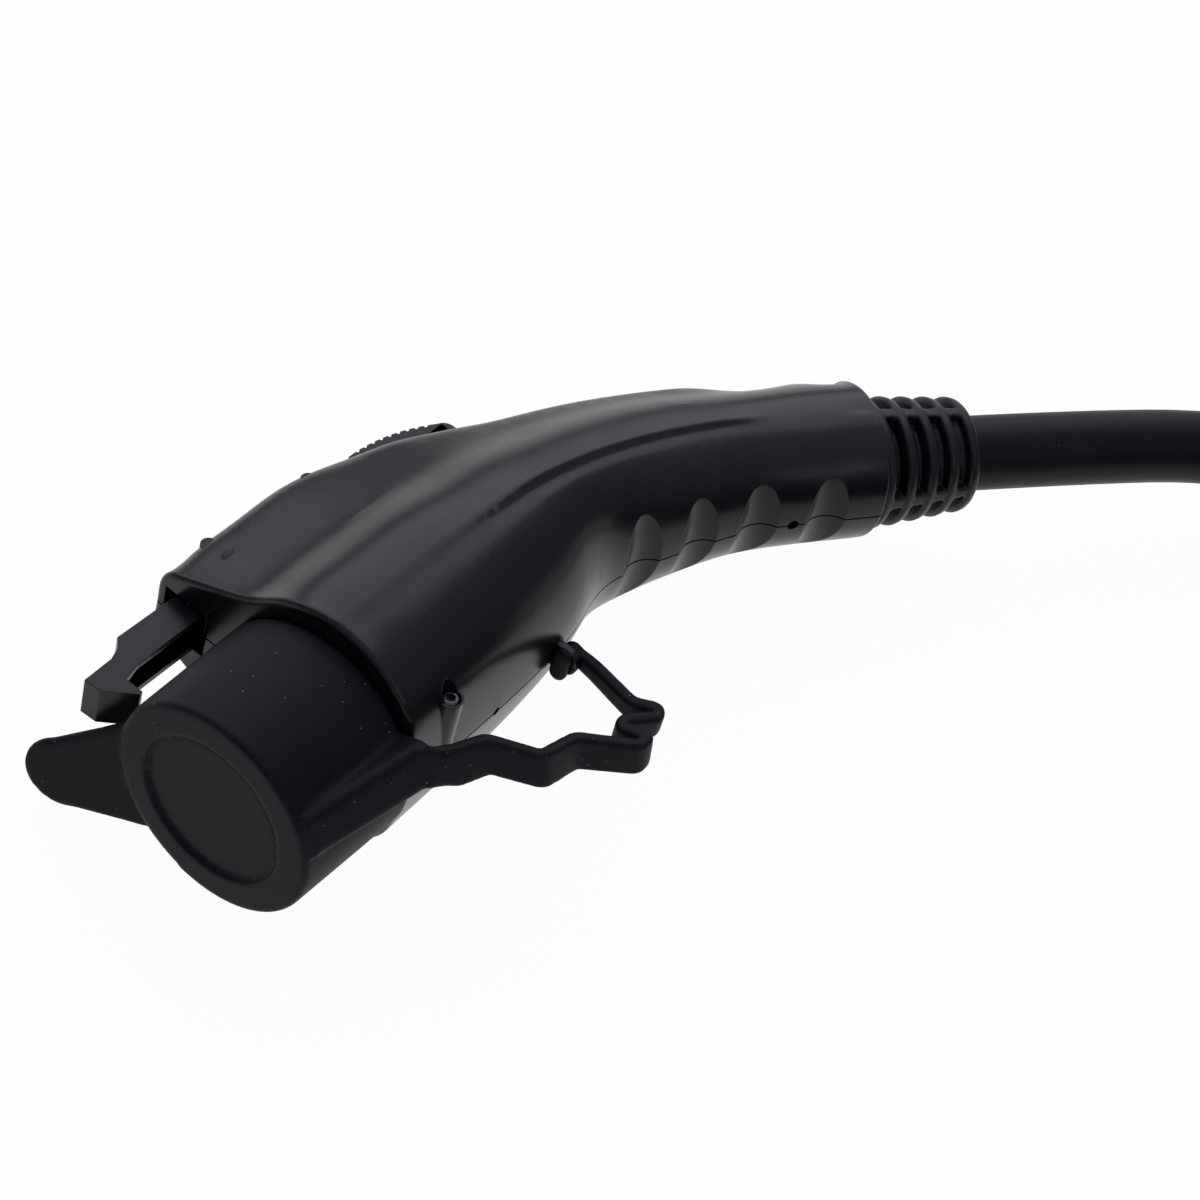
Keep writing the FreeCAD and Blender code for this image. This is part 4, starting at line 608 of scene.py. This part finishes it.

# The spring under the thumb button: drawn steel wire in five turns, the end turns closed, between its seat in
# the shells and the lever.
drawn_steel = metal_finish("drawn_steel", tones=((0.34, 0.34, 0.35), (0.55, 0.55, 0.56)),
                           gloss=(0.22, 0.40), scale=180.0, bump=0.10, stretch=(1, 1, 0.1))
spring_along, spring_radius, spring_wire = -0.068, 0.0033, 0.0004
spring_low, spring_high, spring_turns = 0.01545, 0.02555, 5
closed_turns, closed_pitch = 0.9, 0.00085
spring_steps, wire_sides = 36, 10
spring_loops = []
for step in range(spring_turns * spring_steps + 1):
    turn = step / spring_steps
    climb = min(max((turn - closed_turns) / (spring_turns - 2 * closed_turns), 0), 1)
    ends = closed_pitch * (min(turn, closed_turns) + max(turn - (spring_turns - closed_turns), 0))
    height = spring_low + ends + (spring_high - spring_low - 2 * closed_turns * closed_pitch) * climb
    angle = 2 * math.pi * turn
    loop = []
    for corner in range(wire_sides):
        lean = 2 * math.pi * corner / wire_sides
        reach = spring_radius + spring_wire * math.cos(lean)
        loop.append((spring_along + reach * math.cos(angle), -height - spring_wire * math.sin(lean),
                     reach * math.sin(angle)))
    spring_loops.append(loop)
spring_mesh = bmesh.new()
skinned(spring_mesh, spring_loops)
bmesh.ops.recalc_face_normals(spring_mesh, faces=spring_mesh.faces)
spring_data = bpy.data.meshes.new("button_spring")
spring_mesh.to_mesh(spring_data)
spring_mesh.free()
for face in spring_data.polygons:
    face.use_smooth = len(face.vertices) == 4
spring_data.materials.append(drawn_steel)
button_spring = bpy.data.objects.new("button_spring", spring_data)
bpy.context.scene.collection.objects.link(button_spring)
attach(button_spring, "connector")
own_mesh(button_spring)
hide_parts("latch_spring")

# Pivot pin: a ground steel pin, blackened like the screws, that carries the lever and is held at
# both ends in the shells' bosses.
pin_oxide = metal_finish("pin_oxide", tones=((0.016, 0.016, 0.019), (0.024, 0.024, 0.028)),
                         gloss=(0.24, 0.32), scale=200.0, bump=0.08, stretch=(1, 1, 0.1))
finish_nodes(pin_oxide, "latch_pivot_pin")

# Resistor board: glass-epoxy under a green lacquer, with tinned tracks showing as paler runs. It
# carries the resistors of the proximity circuit.
board_lacquer = moulded_finish(
    "board_lacquer", tones=((0.010, 0.075, 0.030), (0.018, 0.12, 0.05)), patch=90.0, grain=1600.0,
    gloss=(0.22, 0.34), bump=0.05, level=0.5, dusty=0.001, rubbed_tone=(0.25, 0.28, 0.2))
track_scale, track_width, track_green = 260.0, 0.05, (0.05, 0.22, 0.10, 1)
board_tree = board_lacquer.node_tree
board_shader = board_tree.nodes["Principled BSDF"]
board_place = put(board_tree, "ShaderNodeTexCoord").outputs["Object"]
tracks = put(board_tree, "ShaderNodeTexBrick", {
    "Vector": board_place, "Scale": track_scale, "Mortar Size": track_width, "Color1": (0, 0, 0, 1),
    "Color2": (0, 0, 0, 1), "Mortar": (1, 1, 1, 1)}).outputs["Color"]
feed(board_tree, board_shader, {
    "Base Color": mixed(board_tree, "RGBA", tracks, fed_by(board_shader, "Base Color"), track_green)})
finish_nodes(board_lacquer, "resistor_board")

# Strain-relief boot: one moulding of black rubber on the cable's end. Five rounded rings stand on a
# sleeve and are joined by four thin bars, so that it bends evenly; a flange holds it in the shells.
end_spot = Vector((-0.15348, 0.03604, 0))
end_out = Vector((-0.82904, 0.55919, 0)).normalized()
end_up = Vector((-0.55919, -0.82904, 0)).normalized()
end_turn = Matrix((end_out, end_up, end_out.cross(end_up))).transposed().to_4x4()
end_frame = Matrix.Translation(end_spot) @ end_turn
boot_length, boot_radius, boot_tip, boot_sleeve, boot_bore = 0.0258, 0.0158, 0.0136, 0.0111, 0.00915
flange_back, flange_front, flange_radius, boot_neck = -0.0055, -0.0031, 0.0136, 0.0123
ring_count, ring_gap, ring_round, ring_core = 5, 0.0028, 0.0011, 0.0098
bar_angles, bar_spread, bar_inset = (84, 174, 264, 354), 6, 0.0003
overlap, boot_steps = 0.0001, 96
ring_width = (boot_length - (ring_count - 1) * ring_gap) / ring_count
sleeve_end = boot_length - 2 * overlap
boot_mesh = bmesh.new()
turned(boot_mesh, [(flange_back, boot_bore), (flange_back, flange_radius), (flange_front, flange_radius),
                   (flange_front, boot_neck), (overlap, boot_neck), (overlap, boot_sleeve),
                   (sleeve_end, boot_sleeve), (sleeve_end, boot_bore)], boot_steps)


# The boot's outer radius at a distance from the handle's end
def boot_edge(along):
    return boot_radius + (boot_tip - boot_radius) * along / boot_length


for number in range(ring_count):
    ring_start = number * (ring_width + ring_gap)
    near_end = ring_start + (overlap if number == 0 else 0)
    far_end = ring_start + ring_width
    outline = [(near_end, ring_core)]
    outline += arc(near_end + ring_round, boot_edge(near_end) - ring_round, ring_round, 180, 90)
    outline += arc(far_end - ring_round, boot_edge(far_end) - ring_round, ring_round, 90, 0)
    outline += [(far_end, ring_core)]
    turned(boot_mesh, outline, boot_steps)
for bar in bar_angles:
    loops = []
    for along in (0.001, boot_length * 0.5, boot_length - 0.001):
        bar_top = boot_edge(along) - bar_inset
        loop = []
        for reach, spread in ((ring_core, -bar_spread), (bar_top, -bar_spread), (bar_top, -2), (bar_top, 2),
                              (bar_top, bar_spread), (ring_core, bar_spread)):
            angle = math.radians(bar + spread)
            loop.append((along, reach * math.cos(angle), reach * math.sin(angle)))
        loops.append(loop)
    skinned(boot_mesh, loops)
boot = moulded_piece("rubber_boot", boot_mesh, 0.00036, 4, end_frame)
boot_rubber = moulded_finish(
    "boot_rubber", tones=((0.0036, 0.0035, 0.0046), (0.0064, 0.0062, 0.0080)), patch=40.0, grain=1400.0,
    gloss=(0.36, 0.48), bump=0.10, level=0.22, dusty=0.003, rubbed_tone=(0.016, 0.016, 0.018))
boot.data.materials.append(boot_rubber)
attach(boot, "connector")
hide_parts("strain_relief")

# Cores: five stranded copper wires in coloured sleeves, from the contacts' crimps to the cable's end.
# The sleeves are extruded, with an even satin skin.
sleeve_tones = {
    "wire_line": ((0.20, 0.012, 0.010), (0.28, 0.02, 0.016)),
    "wire_neutral": ((0.42, 0.42, 0.40), (0.52, 0.52, 0.50)),
    "wire_earth": ((0.012, 0.14, 0.03), (0.02, 0.20, 0.05)),
    "wire_pilot": ((0.42, 0.13, 0.01), (0.52, 0.19, 0.02)),
    "wire_proximity": ((0.42, 0.34, 0.02), (0.52, 0.43, 0.04)),
}


# A sleeve's finish in its own colour
def sleeve_finish(name, tones, rubbed_tone):
    return moulded_finish(name, tones, patch=50.0, grain=1800.0, gloss=(0.36, 0.5), bump=0.06, level=0.45,
                          dusty=0.001, rubbed_tone=rubbed_tone)


for name, tones in sleeve_tones.items():
    finish_nodes(sleeve_finish(name + "_sleeve", tones, tones[1]), name)

# Stripped cores at the cable's far end: the same sleeves, cut back by hand. They are one node, so
# their red, white and green are told apart by their distance from the coil's middle.
cores_finish = sleeve_finish("stripped_cores", sleeve_tones["wire_line"], (0.3, 0.05, 0.04))
cores_inner, cores_outer, band_share = 0.0640, 0.0800, 0.85
core_bands = ((0, (0.24, 0.016, 0.013, 1)), (0.33, (0.47, 0.47, 0.45, 1)), (0.67, (0.016, 0.17, 0.04, 1)))
cores_tree = cores_finish.node_tree
cores_shader = cores_tree.nodes["Principled BSDF"]
core_place = put(cores_tree, "ShaderNodeTexCoord").outputs["Object"]
from_middle = put(cores_tree, "ShaderNodeVectorMath", {0: core_place, 1: (coil_middle.x, coil_middle.y, 0)},
                  operation="SUBTRACT").outputs["Vector"]
flat_part = put(cores_tree, "ShaderNodeVectorMath", {0: from_middle, 1: (1, 1, 0)}, operation="MULTIPLY")
core_radius = put(cores_tree, "ShaderNodeVectorMath", {0: flat_part.outputs["Vector"]}, operation="LENGTH")
core_share = ranged(cores_tree, core_radius.outputs["Value"], cores_inner, cores_outer)
banded = put(cores_tree, "ShaderNodeValToRGB", {"Fac": core_share})
banded.color_ramp.interpolation = "CONSTANT"
banded.color_ramp.elements.new(core_bands[1][0])
for element, (start, colour) in zip(banded.color_ramp.elements, core_bands):
    element.position = start
    element.color = colour
feed(cores_tree, cores_shader, {"Base Color": mixed(
    cores_tree, "RGBA", band_share, fed_by(cores_shader, "Base Color"), banded.outputs["Color"])})
finish_nodes(cores_finish, "bare_cores")

# Studio: a white sweep that keeps the part's soft shadow, a wide soft box overhead and to the rear,
# and a weaker one low on the camera's side.
floor_half, floor_height, floor_least, floor_most = 12, -0.0306, 0.88, 0.9
floor_corners = [(floor_half * side, floor_half * end, floor_height)
                 for side, end in ((-1, -1), (1, -1), (1, 1), (-1, 1))]
floor_mesh = bpy.data.meshes.new("studio_floor")
floor_mesh.from_pydata(floor_corners, [], [(0, 1, 2, 3)])
floor = bpy.data.objects.new("studio_floor", floor_mesh)
bpy.context.scene.collection.objects.link(floor)
floor_material = bpy.data.materials.new("studio_floor")
floor_material.use_nodes = True
floor_tree = floor_material.node_tree
floor_tree.nodes.clear()
floor_noise = put(floor_tree, "ShaderNodeTexNoise", {"Scale": 3.0, "Detail": 2.0}).outputs["Fac"]
floor_tone = ranged(floor_tree, floor_noise, 0.0, 1.0, floor_least, floor_most)
floor_white = put(floor_tree, "ShaderNodeBsdfDiffuse", {"Color": floor_tone})
floor_glow = put(floor_tree, "ShaderNodeEmission", {"Color": (1, 1, 1, 1), "Strength": 1.0})

# The lens and what mirrors or passes the floor see it white, and the rest of its light is its own
glow_most = 0.96
path = put(floor_tree, "ShaderNodeLightPath").outputs
seen = worked(floor_tree, "MAXIMUM", path["Is Camera Ray"], path["Is Glossy Ray"])
seen = worked(floor_tree, "MAXIMUM", seen, path["Is Transmission Ray"])
floor_mix = put(floor_tree, "ShaderNodeMixShader", {
    "Fac": worked(floor_tree, "MULTIPLY", seen, glow_most), 1: floor_white.outputs["BSDF"],
    2: floor_glow.outputs["Emission"]})
put(floor_tree, "ShaderNodeOutputMaterial", {"Surface": floor_mix.outputs["Shader"]})
floor_mesh.materials.append(floor_material)

# The room: a plain, slightly cool sky that is dim at the floor's edge and brighter overhead
sky_low, sky_high, sky_dim, sky_tint, sky_strength = 0.05, 0.95, 0.14, (0.94, 0.92, 1.1, 1), 0.75
world = bpy.data.worlds.new("studio")
bpy.context.scene.world = world
world.use_nodes = True
world_tree = world.node_tree
world_way = put(world_tree, "ShaderNodeTexCoord").outputs["Generated"]
world_parts = put(world_tree, "ShaderNodeSeparateXYZ", {"Vector": world_way})
world_height = ranged(world_tree, world_parts.outputs["Z"], sky_low, sky_high, sky_dim, 1.0)
feed(world_tree, world_tree.nodes["Background"], {
    "Color": mixed(world_tree, "RGBA", world_height, (0, 0, 0, 1), sky_tint), "Strength": sky_strength})
lamp_tint, connector_middle = (0.95, 0.93, 1.08), Vector((-0.06, 0.01, 0))


# A square soft box that shines at the connector's middle
def soft_box(name, place, size, power):
    lamp = bpy.data.lights.new(name, "AREA")
    lamp.shape = "RECTANGLE"
    lamp.size, lamp.size_y = size
    lamp.energy = power
    lamp.color = lamp_tint
    holder = bpy.data.objects.new(name, lamp)
    bpy.context.scene.collection.objects.link(holder)
    holder.location = place
    holder.rotation_euler = (connector_middle - Vector(place)).to_track_quat("-Z", "Y").to_euler()


soft_box("overhead_box", (-0.66, -0.62, 0.74), (1.9, 1.3), 11.0)
soft_box("side_box", (0.1, 0.9, 0.55), (0.4, 0.3), 0.5)

bpy.context.scene.view_settings.view_transform = "Standard"
